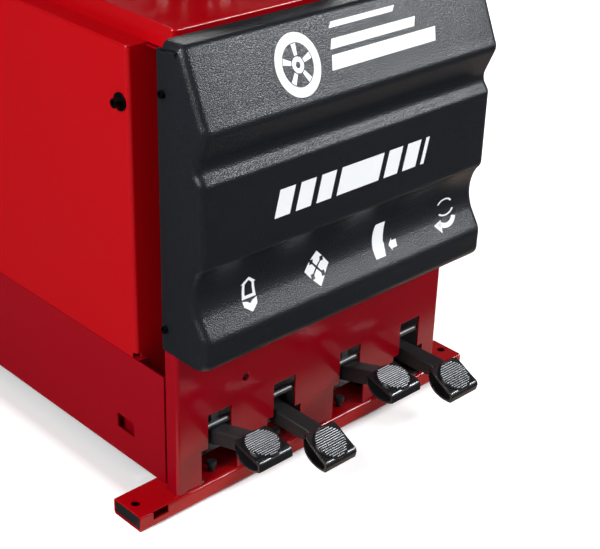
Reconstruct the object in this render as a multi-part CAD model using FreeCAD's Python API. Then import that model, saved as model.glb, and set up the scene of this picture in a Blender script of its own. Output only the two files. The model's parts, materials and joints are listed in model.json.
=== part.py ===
import FreeCAD, Part
import math
import os

# Tyre changer with a tilting column, four foot pedals, a turntable with four
# jaws and a bead breaker on the right side. Millimetres, Z up. The origin is
# on the floor, midway between the four anchor holes; the pedals face -Y.

os.makedirs("parts", exist_ok=True)
Vec = FreeCAD.Vector

# ---------------------------------------------------------------- base frame
RAIL_LENGTH = 700.0
RAIL_DEPTH = 65.0
RAIL_HEIGHT = 28.0
RAIL_WALL = 3.0
RAIL_CORNER = 5.0
ANCHOR_SPACING_X = 670.0
ANCHOR_SPACING_Y = 655.0
ANCHOR_HOLE_R = 7.0
RAIL_SLOT_LENGTH = 28.0
RAIL_SLOT_HEIGHT = 13.0
RAIL_SLOT_FROM_HOLE = 21.5
PLUG_THICKNESS = 5.5
PLUG_INSET = 1.0

# ------------------------------------------------------------------- cabinet
SHEET = 3.0
CABINET_WIDTH = 546.0
CABINET_PAST_REAR_RAIL = 27.5
PANEL_BEFORE_FRONT_RAIL = 29.5
SILL_BEHIND_PANEL = 37.0
SILL_HEIGHT = 186.5
SEAM = 0.5
BOX_BEHIND_PANEL = 100.0
BOX_HEIGHT = 473.0
PANEL_SIDE_LAP = 6.0
PANEL_FLANGE = 25.0
PANEL_BEND_R = 6.0
SIDE_BEND_R = 7.0
SIDE_RETURN = 55.0
SIDE_RETURN_DROP = 66.0
RAISED_DECK_INSET = 32.0
RAISED_DECK_FROM_PANEL = 43.0
RAISED_DECK_FROM_REAR = 165.0
RAISED_DECK_HEIGHT = 30.0
RAISED_DECK_EDGE_R = 8.0
WINDOW_FROM_SILL_FRONT = (75.0, 115.5)
WINDOW_Z = (73.0, 98.5)
WINDOW_CHANNEL_LIP = 15.0
SILL_FLANGE = 18.0
PEEP_HOLE_X = -149.0
PEEP_HOLE_Z = 183.0
PEEP_HOLE_R = 6.0
SIDE_NOTCH = 9.0
SIDE_BOLT_FROM_WALL = 17.0
SIDE_BOLT_FROM_REAR = 23.0
SIDE_BOLT_BELOW_DECK = 80.5
SIDE_WASHER_R = 13.0
SIDE_WASHER_THICKNESS = 2.0
SIDE_BOLT_HEAD_R = 7.0
SIDE_BOLT_HEAD = 10.0
GLAND_X = 200.0
GLAND_Z = 150.0
GLAND_R = 10.0
GLAND_WALL = 4.0
GLAND_OUT = 22.0
GLAND_IN = 12.0
VENT_ROWS = 7
VENT_LOW_Z = 250.0
VENT_PITCH = 16.0
VENT_X = 170.0
VENT_LENGTH = 90.0
VENT_HEIGHT = 6.0

# --------------------------------------------------------------- front cover
COVER_SIDE_LAP = 6.0
COVER_WALL = 4.0
COVER_HEIGHT = 448.0
COVER_ABOVE_DECK = 34.0
COVER_SIDE_BEHIND_PANEL = 22.0
COVER_LIP_BEHIND_PANEL = 11.0
COVER_SCREW_PLACES = ((11.0, 378.0), (8.5, 36.0))
COVER_SCREW_R = 5.5
COVER_SCREW_HEAD = 5.0
COVER_SCREW_SOCKET = 3.0

# -------------------------------------------------------------------- pedals
FIRST_PEDAL_FROM_SIDE = 80.0
LAST_PEDAL_FROM_SIDE = 67.0
MIDDLE_PEDALS_X = (-69.0, 73.0)
PEDAL_RAISED_DEG = (17.0, 0.0, 17.0, 1.0)
PIVOT_BEHIND_PANEL = 77.0
PIVOT_ABOVE_RAIL = 50.0
PIVOT_SHAFT_R = 8.0
RUNNING_CLEARANCE = 0.06
BODY_GAP = 0.5
LEVER_WIDTH = 29.0
LEVER_ABOVE_PIVOT = 15.0
LEVER_BELOW_PIVOT = 10.0
LEVER_TAIL = 46.0
LEVER_REACH = 147.0
LEVER_HUB_WALL = 10.0
PAD_WIDTH = 64.0
PAD_LENGTH = 62.0
PAD_WALL = 4.0
PAD_LEVER_LAP = 4.0
PAD_ABOVE_PIVOT = 5.0
PAD_PEAK = (0.22, 13.0)
PAD_MIDDLE = (0.6, -0.5)
PAD_LIP_DROP = 12.0
PAD_LOW_DROP = 28.0
GRIP_DISC_R = 28.0
GRIP_DISC_HEIGHT = 4.0
GRIP_SLOPE_DEG = 30.0
BRACKET_THICKNESS = 4.0
BRACKET_FOOT = 22.0
BRACKET_SIDE_GAP = 6.0
SHAFT_PAST_BRACKET = 8.0
SPRING_WIRE_R = 1.6
SPRING_TURNS = 5
SPRING_GAP = 3.0
SPRING_CLEARANCE = 0.8
VALVE_SIZE = (34.0, 40.0, 72.0)
VALVE_ABOVE_PIVOT = 34.0
VALVE_STEM_R = 5.0
VALVE_STEM_OUT = 10.0
VALVE_TAB_LAP = 14.0
VALVE_BEFORE_TAIL = 8.0
VALVE_PORT_R = 6.0
VALVE_PORT_OUT = 14.0
SWITCH_SIZE = (60.0, 54.0, 64.0)
SWITCH_BEFORE_STEM = 20.0
SLOT_NARROW = 45.0
SLOT_WIDE = 70.0
SLOT_STEP_HEIGHT = 60.0
SLOT_HEIGHT = 118.0
STOP_BAR_R = 5.0
STOP_BAR_ABOVE_RAIL = 93.0
STOP_BAR_BEHIND_PANEL = 5.5
STRAP_WIDTH = 14.0
STRAP_THICKNESS = 4.0
STRAP_HEIGHT = 59.0
STOP_STEM_R = 5.0
STOP_STEM = 10.0
STOP_HEAD_R = 8.0
STOP_HEAD = 8.0
STOP_AHEAD = 10.0

# ----------------------------------------------------------------- turntable
TABLE_BEHIND_PANEL = 295.0
TABLE_ABOVE_DECK = 94.0
TABLE_R = 205.0
TABLE_THICKNESS = 12.0
TABLE_SHAFT_R = 25.0
TABLE_FLANGE = 16.0
TABLE_NECK_R = 40.0
TABLE_NECK_ABOVE_DECK = 14.0
WORM_WHEEL_WIDTH = 28.0
JAW_SLOT_WIDTH = 22.0
JAW_SLOT_INNER_R = 62.0
JAW_REST_R = 128.0
JAW_WIDTH = 56.0
JAW_LENGTH = 74.0
JAW_HEIGHT = 62.0
JAW_SHOULDER = 10.0
JAW_BLOCK = 17.0
JAW_BASE = 14.0
CLAW_WIDTH = 36.0
GUIDE_HEIGHT = 20.0
GUIDE_WIDTH = 12.0
SLIDE_CLEARANCE = 0.4

# --------------------------------------------------------------------- drive
GEARBOX_SIZE = (170.0, 196.0, 122.0)
GEARBOX_WALL = 9.0
GEARBOX_BEFORE_WORM = 34.0
NECK_R = 55.0
WORM_OFFSET_Y = -64.0
WORM_BELOW_DECK = 85.0
MOTOR_BEFORE_WORM = 24.0
MOTOR_BELOW_WORM = 195.0
MOTOR_R = 70.0
MOTOR_LENGTH = 200.0
MOTOR_END_CAP = 22.0
MOTOR_FINS = 24
MOTOR_FIN_DEPTH = 12.0
MOTOR_FIN_THICKNESS = 3.0
MOTOR_FIN_START = 30.0
TERMINAL_BOX = (70.0, 18.0, 60.0)
TERMINAL_BOX_START = 60.0
MOTOR_HANGER = (14.0, 24.0)
PULLEY_FROM_GEARBOX = 40.0
PULLEY_WIDTH = 20.0
MOTOR_PULLEY_R = 30.0
GEARBOX_PULLEY_R = 70.0
MOTOR_SHAFT_R = 9.0
WORM_SHAFT_R = 10.0
WORM_R = 18.0
WORM_LENGTH = 64.0
BELT_THICKNESS = 8.0
BELT_SIDE_ROOM = 2.5

# -------------------------------------------------------------------- column
COLUMN_SIDE = 100.0
COLUMN_WALL = 5.0
COLUMN_HEIGHT = 1090.0
COLUMN_PIVOT_BEHIND_REAR = 95.0
COLUMN_PIVOT_BELOW_DECK = 218.0
COLUMN_BELOW_PIVOT = 60.0
COLUMN_PIN_R = 12.0
COLUMN_TILT_DEG = 25.0
FOOT_PLATE = 12.0
FOOT_PLATE_SIDE = 30.0
CHEEK_BELOW_PIVOT = 45.0
CHEEK_ABOVE_PIVOT = 55.0
CHEEK_BEHIND_PIVOT = 34.0
COLUMN_NUT_FLATS = 34.0
COLUMN_NUT = 10.0
COLUMN_BUSH_WALL = 8.0
COLUMN_CORNER = 8.0
LUG_THICKNESS = 10.0
LUG_GAP = 28.0
TILT_LUG_DROP = 80.0
TILT_PIN_R = 8.0
TILT_EYE_CLEARANCE = 2.4
TILT_ROD_R = 9.0
TILT_BARREL_R = 36.0
TILT_BARREL_WALL = 5.0
TILT_PISTON_CLEARANCE = 0.4
TILT_EYE_WIDTH = 20.0
TILT_EYE_WALL = 6.0
TILT_BARREL_LENGTH = 110.0
SLEEVE_HEIGHT = 100.0
SLEEVE_DEPTH = 140.0
ARM_SIDE = 60.0
ARM_WALL = 5.0
ARM_HEAD_BEHIND_TABLE = 190.0
ARM_PAST_COLUMN = 150.0
HEAD_SIDE = 92.0
HEX_FLATS = 40.0
HEX_ABOVE_TABLE = 173.0
HEX_ABOVE_ARM = 230.0
HEX_CAP = 22.0
HEX_SOCKET_WALL = 7.906
MOUNT_HEAD_DROP = 55.0
GRIP_R = 15.0
GRIP_LENGTH = 118.0
BUTTON_R = 8.0
BUTTON_TRAVEL = 4.0

# -------------------------------------------------------------- bead breaker
BREAKER_ABOVE_SILL = 35.5
BREAKER_BEHIND_TABLE = 122.0
BREAKER_LENGTH = 258.0
BREAKER_CYLINDER_R = 100.0
BREAKER_CYLINDER_WALL = 6.0
BREAKER_ROD_R = 12.0
BREAKER_PISTON = 18.0
BREAKER_PISTON_CLEARANCE = 0.5
BREAKER_NUT_R = 27.0
BREAKER_NUT = 12.0
HINGE_FROM_SIDE = 45.0
HINGE_FROM_REAR = 33.0
HINGE_PIN_R = 12.0
HINGE_HUB_WALL = 12.0
HINGE_BASE = 8.0
HINGE_EAR = 12.0
HINGE_BASE_MARGIN = 40.0
ARM_PLATE = 12.0
ARM_PLATE_GAP = 40.0
ARM_BAR_WIDTH = 44.0
BLADE_HINGE_FROM_SIDE = 101.0
BLADE_HINGE_BEHIND_TABLE = 2.0
BLADE_PIN_R = 8.0
BLADE_INNER_R = 190.0
BLADE_OUTER_R = 250.0
BLADE_HALF_DEG = 32.0
BLADE_THICKNESS = 12.0
BLADE_BEHIND_PIN = 46.0
BLADE_RISE = 45.0
BLADE_STEM_WIDTH = 32.0
HANDLE_R = 14.0
HANDLE_CORE_R = 8.0
HANDLE_LENGTH = 100.0
HANDLE_LOW = 24.0
HANDLE_PLACE = (-6.0, 40.0)
REST_PAD_THICKNESS = 12.0
REST_PAD_WIDTH = 70.0
REST_PADS_BEFORE_BLADE = (130.0, 0.0)
REST_PAD_LOW_Z = 60.0

# ---------------------------------------------------------------- air supply
AIR_FROM_REAR = 115.0
AIR_BELOW_DECK = 128.0
AIR_BOWL_R = 20.0
AIR_BOWL_PITCH = 56.0
AIR_BOWL_LENGTH = 80.0
AIR_FROM_SKIN = 36.0
AIR_HEAD_HALF = 24.0
AIR_HEAD_LOW = 16.0
AIR_HEAD_HIGH = 20.0
AIR_KNOB_R = 17.0
AIR_KNOB = 37.0
AIR_GAUGE_R = 19.0
AIR_GAUGE = 13.0
AIR_DRAIN_R = 5.0

# ---------------------------------------------------------- worked-out places
HALF_BODY = CABINET_WIDTH / 2
HALF_PANEL = HALF_BODY + PANEL_SIDE_LAP
HALF_COVER = HALF_PANEL + COVER_SIDE_LAP
RAIL_CENTRE_Y = ANCHOR_SPACING_Y / 2
CABINET_REAR_Y = RAIL_CENTRE_Y + CABINET_PAST_REAR_RAIL
PANEL_FRONT_Y = -RAIL_CENTRE_Y - PANEL_BEFORE_FRONT_RAIL
PANEL_BACK_Y = PANEL_FRONT_Y + SHEET
SILL_FRONT_Y = PANEL_FRONT_Y + SILL_BEHIND_PANEL
BOX_FRONT_Y = PANEL_FRONT_Y + BOX_BEHIND_PANEL
SILL_TOP_Z = RAIL_HEIGHT + SILL_HEIGHT
BOX_BOTTOM_Z = SILL_TOP_Z + SEAM
DECK_TOP_Z = BOX_BOTTOM_Z + BOX_HEIGHT
RAISED_TOP_Z = DECK_TOP_Z + RAISED_DECK_HEIGHT
RAISED_DECK_FRONT_Y = PANEL_FRONT_Y + RAISED_DECK_FROM_PANEL
RAISED_DECK_REAR_Y = CABINET_REAR_Y - RAISED_DECK_FROM_REAR
SIDE_BOLT_Z = DECK_TOP_Z - SIDE_BOLT_BELOW_DECK
SIDE_BOLTS_Y = (BOX_FRONT_Y + SIDE_BOLT_FROM_WALL, CABINET_REAR_Y - SIDE_BOLT_FROM_REAR)
COVER_TOP_Z = DECK_TOP_Z + COVER_ABOVE_DECK
COVER_BOTTOM_Z = COVER_TOP_Z - COVER_HEIGHT
COVER_SIDE_REAR_Y = PANEL_FRONT_Y + COVER_SIDE_BEHIND_PANEL
COVER_LIP_REAR_Y = PANEL_FRONT_Y + COVER_LIP_BEHIND_PANEL
PEDAL_X = (FIRST_PEDAL_FROM_SIDE - HALF_PANEL,) + MIDDLE_PEDALS_X + (HALF_PANEL - LAST_PEDAL_FROM_SIDE,)
PIVOT_Y = PANEL_FRONT_Y + PIVOT_BEHIND_PANEL
PIVOT_Z = RAIL_HEIGHT + PIVOT_ABOVE_RAIL
LEVER_HUB_R = PIVOT_SHAFT_R + LEVER_HUB_WALL
STOP_BAR_Y = PANEL_BACK_Y + STOP_BAR_BEHIND_PANEL
STOP_BAR_Z = RAIL_HEIGHT + STOP_BAR_ABOVE_RAIL
END_BRACKET_X = HALF_BODY - SILL_FLANGE - BRACKET_SIDE_GAP
MID_BRACKETS_X = [(PEDAL_X[i] + PEDAL_X[i + 1]) / 2 for i in range(len(PEDAL_X) - 1)]
BRACKET_X = [-END_BRACKET_X] + MID_BRACKETS_X + [END_BRACKET_X]
SHAFT_HALF = END_BRACKET_X + SHAFT_PAST_BRACKET
VALVE_Y = PIVOT_Y + LEVER_TAIL - VALVE_BEFORE_TAIL
VALVE_LOW_Z = PIVOT_Z + VALVE_ABOVE_PIVOT
TABLE_Y = PANEL_FRONT_Y + TABLE_BEHIND_PANEL
TABLE_TOP_Z = RAISED_TOP_Z + TABLE_ABOVE_DECK
TABLE_UNDER_Z = TABLE_TOP_Z - TABLE_THICKNESS
GEARBOX_TOP_Z = DECK_TOP_Z - SHEET
WORM_Y = TABLE_Y + WORM_OFFSET_Y
WORM_Z = GEARBOX_TOP_Z - WORM_BELOW_DECK
MOTOR_Y = WORM_Y - MOTOR_BEFORE_WORM
MOTOR_Z = WORM_Z - MOTOR_BELOW_WORM
PULLEY_PLANE_X = GEARBOX_SIZE[0] / 2 + PULLEY_FROM_GEARBOX
COLUMN_PIVOT_Y = CABINET_REAR_Y + COLUMN_PIVOT_BEHIND_REAR
COLUMN_PIVOT_Z = DECK_TOP_Z - COLUMN_PIVOT_BELOW_DECK
COLUMN_BOTTOM_Z = COLUMN_PIVOT_Z - COLUMN_BELOW_PIVOT
COLUMN_TOP_Z = COLUMN_BOTTOM_Z + COLUMN_HEIGHT
TILT_LUG_AHEAD = TILT_LUG_DROP * math.tan(math.radians(COLUMN_TILT_DEG / 2))
TILT_PIN_Y = COLUMN_PIVOT_Y + TILT_LUG_AHEAD
TILT_PIN_Z = COLUMN_PIVOT_Z - TILT_LUG_DROP
ARM_AXIS_Z = COLUMN_TOP_Z + SLEEVE_HEIGHT / 2
ARM_FRONT_Y = TABLE_Y + ARM_HEAD_BEHIND_TABLE
ARM_REAR_Y = COLUMN_PIVOT_Y + ARM_PAST_COLUMN
HEX_BOTTOM_Z = TABLE_TOP_Z + HEX_ABOVE_TABLE
HEX_TOP_Z = ARM_AXIS_Z + HEX_ABOVE_ARM
MOUNT_HEAD_Z = HEX_BOTTOM_Z - MOUNT_HEAD_DROP
BREAKER_Z = SILL_TOP_Z + BREAKER_ABOVE_SILL
BREAKER_CYLINDER_Y = TABLE_Y + BREAKER_BEHIND_TABLE
BREAKER_FRONT_X = HALF_BODY - SHEET
BREAKER_BACK_X = BREAKER_FRONT_X - BREAKER_LENGTH
HINGE_X = HALF_BODY + HINGE_FROM_SIDE
HINGE_Y = CABINET_REAR_Y - HINGE_FROM_REAR
HINGE_HUB_R = HINGE_PIN_R + HINGE_HUB_WALL
BLADE_HINGE_X = HALF_BODY + BLADE_HINGE_FROM_SIDE
BLADE_HINGE_Y = TABLE_Y + BLADE_HINGE_BEHIND_TABLE
ARM_PLATE_LOW_Z = BREAKER_Z - ARM_PLATE_GAP / 2 - ARM_PLATE
ARM_PLATE_HIGH_Z = BREAKER_Z + ARM_PLATE_GAP / 2
COLLAR_X = HINGE_X + (BLADE_HINGE_X - HINGE_X) * (HINGE_Y - BREAKER_CYLINDER_Y) / (HINGE_Y - BLADE_HINGE_Y)
AIR_X = HALF_BODY + AIR_FROM_SKIN
AIR_Y = CABINET_REAR_Y - AIR_FROM_REAR
AIR_Z = DECK_TOP_Z - AIR_BELOW_DECK


# ------------------------------------------------------------------- helpers
def box(x0, x1, y0, y1, z0, z1):
    return Part.makeBox(x1 - x0, y1 - y0, z1 - z0, Vec(x0, y0, z0))


def rod_x(x0, x1, y, z, r):
    return Part.makeCylinder(r, x1 - x0, Vec(x0, y, z), Vec(1, 0, 0))


def rod_y(y0, y1, x, z, r):
    return Part.makeCylinder(r, y1 - y0, Vec(x, y0, z), Vec(0, 1, 0))


def rod_z(z0, z1, x, y, r):
    return Part.makeCylinder(r, z1 - z0, Vec(x, y, z0), Vec(0, 0, 1))


def fuse(shapes):
    whole = shapes[0]
    if len(shapes) > 1:
        whole = whole.fuse(shapes[1:])
    return whole.removeSplitter()


def cut(shape, tools):
    return shape.cut(tools).removeSplitter()


def mirror_x(shape):
    return shape.mirror(Vec(0, 0, 0), Vec(1, 0, 0))


def round_edges(shape, radius, wanted):
    """Fillet the straight edges for which wanted(a, b) is true at their ends."""
    edges = []
    for edge in shape.Edges:
        if len(edge.Vertexes) == 2 and wanted(edge.Vertexes[0].Point, edge.Vertexes[1].Point):
            edges.append(edge)
    return shape.makeFillet(radius, edges)


def along_x(a, b):
    return abs(a.x - b.x) > 1e-3 and abs(a.y - b.y) < 1e-6 and abs(a.z - b.z) < 1e-6


def along_y(a, b):
    return abs(a.y - b.y) > 1e-3 and abs(a.x - b.x) < 1e-6 and abs(a.z - b.z) < 1e-6


def along_z(a, b):
    return abs(a.z - b.z) > 1e-3 and abs(a.x - b.x) < 1e-6 and abs(a.y - b.y) < 1e-6


def prism_along_x(points, x0, x1):
    """A straight-sided outline given as (y, z) points, run from x0 to x1."""
    corners = [Vec(x0, y, z) for y, z in points]
    wire = Part.makePolygon(corners + [corners[0]])
    return Part.Face(wire).extrude(Vec(x1 - x0, 0, 0))


def prism_along_z(points, z0, z1):
    """A straight-sided outline given as (x, y) points, run from z0 to z1."""
    corners = [Vec(x, y, z0) for x, y in points]
    wire = Part.makePolygon(corners + [corners[0]])
    return Part.Face(wire).extrude(Vec(0, 0, z1 - z0))


def square_tube(x0, x1, y0, y1, z0, z1, wall, axis, corner):
    """A rectangular tube whose hollow runs along the named axis."""
    outer = round_edges(box(x0, x1, y0, y1, z0, z1), corner, axis)
    inset = [wall, wall, wall]
    inset[(along_x, along_y, along_z).index(axis)] = -1.0
    hollow = box(x0 + inset[0], x1 - inset[0], y0 + inset[1], y1 - inset[1],
                 z0 + inset[2], z1 - inset[2])
    return outer.cut(hollow)


def hexagon_z(flats, x, y, z0, z1):
    reach = flats / math.sqrt(3)
    points = []
    for step in range(6):
        turn = math.radians(60 * step)
        points.append((x + reach * math.cos(turn), y + reach * math.sin(turn)))
    return prism_along_z(points, z0, z1)


def save(node, shape):
    if isinstance(shape, (list, tuple)):
        shape = Part.makeCompound(list(shape))
    shape.exportStep("parts/" + node + ".step")
    print(node, "solids", len(shape.Solids), "valid", shape.isValid())


# ---------------------------------------------------------------- base frame
def rail(centre_y, front_slots):
    half = RAIL_LENGTH / 2
    y0 = centre_y - RAIL_DEPTH / 2
    y1 = centre_y + RAIL_DEPTH / 2
    tube = square_tube(-half, half, y0, y1, 0, RAIL_HEIGHT, RAIL_WALL, along_x, RAIL_CORNER)
    tools = []
    for side in (-1, 1):
        hole_x = side * ANCHOR_SPACING_X / 2
        tools.append(rod_z(-1, RAIL_HEIGHT + 1, hole_x, centre_y, ANCHOR_HOLE_R))
        if front_slots:
            mid = hole_x - side * RAIL_SLOT_FROM_HOLE
            slot_half = RAIL_SLOT_LENGTH / 2
            tools.append(box(mid - slot_half, mid + slot_half, y0 - 1, y0 + RAIL_WALL,
                             RAIL_HEIGHT - 2 - RAIL_SLOT_HEIGHT, RAIL_HEIGHT - 2))
    return cut(tube, tools)


def end_plug(side, centre_y):
    """A plastic plug that fills the rail's open end and sits a little inside it."""
    outer = side * (RAIL_LENGTH / 2 - PLUG_INSET)
    inner = outer - side * PLUG_THICKNESS
    half = RAIL_DEPTH / 2 - RAIL_WALL
    plug = box(min(outer, inner), max(outer, inner), centre_y - half, centre_y + half,
               RAIL_WALL, RAIL_HEIGHT - RAIL_WALL)
    return plug


save("front_rail", rail(-RAIL_CENTRE_Y, True))
save("rear_rail", rail(RAIL_CENTRE_Y, False))
save("rail_end_plugs", [end_plug(side, y) for side in (-1, 1) for y in (-RAIL_CENTRE_Y, RAIL_CENTRE_Y)])


# ------------------------------------------------------------------- cabinet
def front_panel():
    """Folded sheet: face, two side flanges and a top flange back to the inner wall."""
    flange_y = PANEL_BACK_Y - SHEET + PANEL_FLANGE
    outer = box(-HALF_PANEL, HALF_PANEL, PANEL_FRONT_Y, flange_y, RAIL_HEIGHT, DECK_TOP_Z - SHEET)
    outer = round_edges(outer, PANEL_BEND_R, lambda a, b: along_z(a, b) and a.y < flange_y - 1)
    inner = box(-HALF_PANEL + SHEET, HALF_PANEL - SHEET, PANEL_BACK_Y, flange_y + 1,
                RAIL_HEIGHT - 1, DECK_TOP_Z)
    inner = round_edges(inner, PANEL_BEND_R - SHEET, lambda a, b: along_z(a, b) and a.y < flange_y)
    half = HALF_BODY - RAISED_DECK_INSET
    top = box(-half, half, PANEL_BACK_Y, BOX_FRONT_Y, DECK_TOP_Z - 2 * SHEET, DECK_TOP_Z - SHEET)
    tools = []
    for x in PEDAL_X:
        tools.append(box(x - SLOT_WIDE / 2, x + SLOT_WIDE / 2, PANEL_FRONT_Y - 1, PANEL_BACK_Y + 1,
                         RAIL_HEIGHT - 1, RAIL_HEIGHT + SLOT_STEP_HEIGHT))
        tools.append(box(x - SLOT_NARROW / 2, x + SLOT_NARROW / 2, PANEL_FRONT_Y - 1, PANEL_BACK_Y + 1,
                         RAIL_HEIGHT - 1, RAIL_HEIGHT + SLOT_HEIGHT))
    tools.append(rod_y(PANEL_FRONT_Y - 1, PANEL_BACK_Y + 1, PEEP_HOLE_X, PEEP_HOLE_Z, PEEP_HOLE_R))
    return cut(outer.cut(inner).fuse(top), tools)


def sill_panel():
    """Left lower side: a sheet on the two rails with flanges turned inwards."""
    rear = CABINET_REAR_Y - SHEET
    skin = box(-HALF_BODY, -HALF_BODY + SHEET, SILL_FRONT_Y, rear, RAIL_HEIGHT, SILL_TOP_Z)
    inner_x = -HALF_BODY + SILL_FLANGE
    top = box(-HALF_BODY, inner_x, BOX_FRONT_Y + SHEET + BODY_GAP, rear, SILL_TOP_Z - SHEET, SILL_TOP_Z)
    front = box(-HALF_BODY, inner_x, SILL_FRONT_Y, SILL_FRONT_Y + SHEET, RAIL_HEIGHT, SILL_TOP_Z)
    window_y0 = SILL_FRONT_Y + WINDOW_FROM_SILL_FRONT[0]
    window_y1 = SILL_FRONT_Y + WINDOW_FROM_SILL_FRONT[1]
    channel_y0 = window_y0 - WINDOW_CHANNEL_LIP
    channel_y1 = window_y1 + WINDOW_CHANNEL_LIP
    stiffener = box(-HALF_BODY, inner_x, channel_y0, channel_y1, RAIL_HEIGHT, SILL_TOP_Z)
    channel = box(-HALF_BODY + SHEET, inner_x - SHEET, channel_y0 + SHEET, channel_y1 - SHEET,
                  RAIL_HEIGHT - 1, SILL_TOP_Z - SHEET)
    window = box(-HALF_BODY - 1, -HALF_BODY + SHEET, window_y0, window_y1, WINDOW_Z[0], WINDOW_Z[1])
    return cut(fuse([skin, top, front, stiffener.cut(channel)]), [window])


def upper_side():
    """Left upper side: a sheet bent round the front corner, notched at the bend's foot."""
    rear = CABINET_REAR_Y - SHEET
    top_z = DECK_TOP_Z - SHEET
    skin_x = -HALF_BODY
    back_x = skin_x + SHEET
    back_y = BOX_FRONT_Y + SHEET
    outer = box(skin_x, skin_x + SIDE_RETURN, BOX_FRONT_Y, rear, BOX_BOTTOM_Z, top_z)
    outer = round_edges(outer, SIDE_BEND_R,
                        lambda a, b: along_z(a, b) and a.y < BOX_FRONT_Y + 1 and a.x < skin_x + 1)
    inner = box(back_x, skin_x + SIDE_RETURN + 1, back_y, rear + 1, BOX_BOTTOM_Z - 1, top_z + 1)
    inner = round_edges(inner, SIDE_BEND_R - SHEET,
                        lambda a, b: along_z(a, b) and a.y < back_y + 1 and a.x < back_x + 1)
    notch = box(-HALF_BODY - 1, -HALF_BODY + SIDE_NOTCH, BOX_FRONT_Y - 1, BOX_FRONT_Y + SIDE_NOTCH,
                BOX_BOTTOM_Z - 1, BOX_BOTTOM_Z + SIDE_NOTCH)
    return cut(outer, [inner, notch])


def return_tongue():
    """Lower end of the left return: it closes the gap beside the sill's window channel."""
    return box(-HALF_BODY + SILL_FLANGE + BODY_GAP, -HALF_BODY + SIDE_RETURN, BOX_FRONT_Y, BOX_FRONT_Y + SHEET,
               BOX_BOTTOM_Z - SIDE_RETURN_DROP, BOX_BOTTOM_Z + SHEET)


def inner_front_wall():
    """Sheet between the two side panels' returns, behind the front panel."""
    half = HALF_BODY - SIDE_RETURN
    return box(-half, half, BOX_FRONT_Y, BOX_FRONT_Y + SHEET, BOX_BOTTOM_Z, DECK_TOP_Z - SHEET)


def rear_panel():
    """Rear sheet with a passage for the tilt rod, cooling slots and the cable gland hole."""
    sheet = box(-HALF_BODY, HALF_BODY, CABINET_REAR_Y - SHEET, CABINET_REAR_Y, RAIL_HEIGHT, DECK_TOP_Z - SHEET)
    y0 = CABINET_REAR_Y - SHEET - 1
    y1 = CABINET_REAR_Y + 1
    tools = [rod_y(y0, y1, 0, TILT_PIN_Z, TILT_ROD_R + 3)]
    tools.append(rod_y(y0, y1, GLAND_X, GLAND_Z, GLAND_R))
    for row in range(VENT_ROWS):
        z = VENT_LOW_Z + VENT_PITCH * row
        for side in (-1, 1):
            x = side * VENT_X
            tools.append(box(x - VENT_LENGTH / 2, x + VENT_LENGTH / 2, y0, y1, z, z + VENT_HEIGHT))
    return cut(sheet, tools)


def deck_plate():
    deck = box(-HALF_BODY, HALF_BODY, BOX_FRONT_Y, CABINET_REAR_Y, DECK_TOP_Z - SHEET, DECK_TOP_Z)
    deck = round_edges(deck, SIDE_BEND_R, lambda a, b: along_z(a, b) and a.y < BOX_FRONT_Y + 1)
    deck = deck.makeFillet(SHEET - 0.2, [e for e in deck.Edges if e.CenterOfMass.z > DECK_TOP_Z - 0.01])
    return cut(deck, [rod_z(DECK_TOP_Z - 10, DECK_TOP_Z + 10, 0, TABLE_Y, NECK_R + 2)])


def raised_deck():
    """Pressed lid on the deck: closed top, four walls, open below."""
    half = HALF_BODY - RAISED_DECK_INSET
    lid = box(-half, half, RAISED_DECK_FRONT_Y, RAISED_DECK_REAR_Y, DECK_TOP_Z, RAISED_TOP_Z)
    lid = round_edges(lid, RAISED_DECK_EDGE_R, lambda a, b: along_z(a, b))
    top_edges = [e for e in lid.Edges if e.CenterOfMass.z > RAISED_TOP_Z - 0.01]
    lid = lid.makeFillet(RAISED_DECK_EDGE_R / 2, top_edges)
    hollow = box(-half + SHEET, half - SHEET, RAISED_DECK_FRONT_Y + SHEET, RAISED_DECK_REAR_Y - SHEET,
                 DECK_TOP_Z - 1, RAISED_TOP_Z - SHEET)
    hollow = round_edges(hollow, RAISED_DECK_EDGE_R - SHEET, lambda a, b: along_z(a, b))
    return cut(lid, [hollow, rod_z(DECK_TOP_Z, RAISED_TOP_Z + 1, 0, TABLE_Y, NECK_R + 2)])


save("front_panel", front_panel())
left_sill = sill_panel()
save("left_sill_panel", left_sill)
cylinder_room = rod_x(0, HALF_BODY - SHEET, BREAKER_CYLINDER_Y, BREAKER_Z, BREAKER_CYLINDER_R + 1)
save("right_sill_panel", cut(mirror_x(left_sill), [cylinder_room]))
save("left_side_panel", fuse([upper_side(), return_tongue()]))
rod_passage = rod_x(HALF_BODY - SHEET - 1, HALF_BODY + 1, BREAKER_CYLINDER_Y, BREAKER_Z, BREAKER_ROD_R + 4)
save("right_side_panel", cut(mirror_x(upper_side()), [rod_passage]))
save("inner_front_wall", inner_front_wall())
save("rear_panel", rear_panel())
save("deck_plate", deck_plate())
save("raised_deck", raised_deck())


def cable_gland():
    """Gland for the mains cable: flange outside the rear panel, body through its hole."""
    y0 = CABINET_REAR_Y - GLAND_IN
    y1 = CABINET_REAR_Y + GLAND_OUT
    flange = rod_y(CABINET_REAR_Y, CABINET_REAR_Y + 5, GLAND_X, GLAND_Z, GLAND_R + 5)
    body = rod_y(y0, y1, GLAND_X, GLAND_Z, GLAND_R - RUNNING_CLEARANCE)
    bore = rod_y(y0 - 1, y1 + 1, GLAND_X, GLAND_Z, GLAND_R - GLAND_WALL)
    return fuse([flange, body]).cut(bore)


save("cable_gland", cable_gland())


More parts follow.
